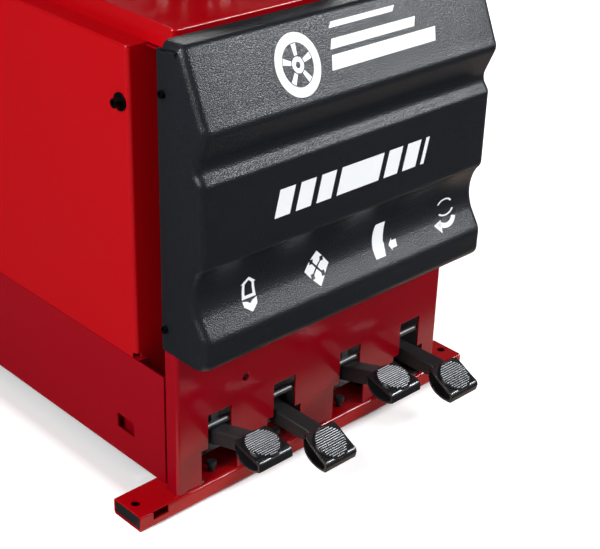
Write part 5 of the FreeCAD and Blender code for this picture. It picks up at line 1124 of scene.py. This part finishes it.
def lights():
    centre = (0.0, -0.25, 0.45)
    softbox("top_left", (-3.0, -0.6, 2.6), centre, (1.6, 1.6), 138)
    softbox("chin_light", (2.4, -2.75, 2.25), (0.0, -0.42, 0.34), (1.5, 0.22), 90, (0.93, 0.96, 1.0))
    softbox("slant_light", (2.2, -3.2, 1.05), (0.0, -0.40, 0.60), (1.5, 0.25), 3, (0.93, 0.96, 1.0))
    softbox("rear_right", (1.9, 2.6, 2.3), (0, 0, 0.7), (1.6, 1.0), 60)


CAMERA_PLACE = (-1.3100, -1.6556, 1.2764)
CAMERA_AIM = (0.6207, 0.6144, -0.4872)
CAMERA_ROLL_DEG = 2.434


def camera():
    data = bpy.data.cameras.new("camera")
    data.lens = 83.52
    data.sensor_width = 36.0
    data.shift_x = -0.035
    data.shift_y = 0.0542
    data.clip_end = 60.0
    viewer = bpy.data.objects.new("camera", data)
    bpy.context.scene.collection.objects.link(viewer)
    turn = Vector(CAMERA_AIM).to_track_quat("-Z", "Y").to_matrix().to_4x4()
    roll = Matrix.Rotation(math.radians(CAMERA_ROLL_DEG), 4, "Z")
    viewer.matrix_world = Matrix.Translation(CAMERA_PLACE) @ turn @ roll
    bpy.context.scene.camera = viewer


# ------------------------------------------------------------------- the machine
# Nodes, width of their rounded edges in millimetres, and finish.
SOFT_EDGES = [
    # The front panel and the sills take the darker copy of the red paint, which is painted shade.
    ("front_rail rear_rail", 0.8, "red_paint"), ("front_panel", 0.6, "shaded_red_paint"),
    ("left_sill_panel right_sill_panel", 0.8, "shaded_red_paint"),
    ("left_side_panel right_side_panel", 0.9, "red_paint"),
    ("inner_front_wall rear_panel", 0.6, "red_paint"), ("deck_plate raised_deck", 0.5, "red_paint"),
    ("rail_end_plugs", 0.8, "black_plug"), ("stop_bar", 0.5, "bar_steel"),
    ("pedal_brackets", 0.6, "bar_steel"), ("column_foot", 1.0, "red_paint"),
    ("horizontal_arm", 1.2, "red_paint"), ("gearbox_housing", 1.5, "grey_castings"),
    ("turntable_plate", 0.8, "table_steel"), ("jaw_1 jaw_2 jaw_3 jaw_4", 0.8, "jaw_steel"),
    ("mount_head", 1.0, "jaw_steel"), ("tilt_cylinder", 0.8, "valve_alloy"),
    ("breaker_cylinder", 1.0, "valve_alloy"), ("breaker_hinge", 1.0, "red_paint"),
    ("breaker_arm", 1.5, "red_paint"), ("breaker_blade", 1.0, "jaw_steel"),
    ("tyre_rest_pads", 2.0, "black_rubber"), ("air_unit", 1.0, "switch_plastic"),
    ("lock_grip", 1.0, "black_rubber"), ("lock_button", 1.0, "button_plastic"),
    ("hex_shaft", 0.8, "ground_steel"), ("rubber_stops", 1.0, "black_rubber"),
    ("cover_screws", 0.5, "black_screw"), ("side_panel_bolts", 0.4, "side_bolt"),
    ("gearbox_pulley", 0.8, "zinc_steel"), ("pedal_valves", 0.6, "valve_alloy"),
    ("reversing_switch", 0.8, "switch_plastic"), ("cable_gland", 0.6, "black_plug"),
]


def machine():
    for nodes, width, finish in SOFT_EDGES:
        for node in nodes.split():
            softened(node, width * MM, finish)
    front_cover()
    signs()
    welds()
    for index in range(len(PEDAL_JOINTS)):
        pedal(index)


NODE_FINISHES = {
    "pedal_shaft": "ground_steel", "pedal_springs": "spring_steel", "turntable_shaft": "ground_steel",
    "motor": "grey_castings", "motor_pulley": "zinc_steel", "drive_belt": "black_rubber",
    "column_pin": "zinc_steel", "column_post": "red_paint", "tilt_rod": "ground_steel",
    "breaker_rod": "ground_steel", "air_bowls": "clear_bowl",
}


def dress_nodes():
    """The CAD nodes that no finished piece replaces get their finish."""
    for node, finish in NODE_FINISHES.items():
        mesh = frame["nodes"][node].data
        mesh.materials.clear()
        mesh.materials.append(FINISHES[finish])


machine()
dress_nodes()
studio_floor()
studio_world()
lights()
camera()
bpy.context.scene.view_settings.view_transform = "Standard"
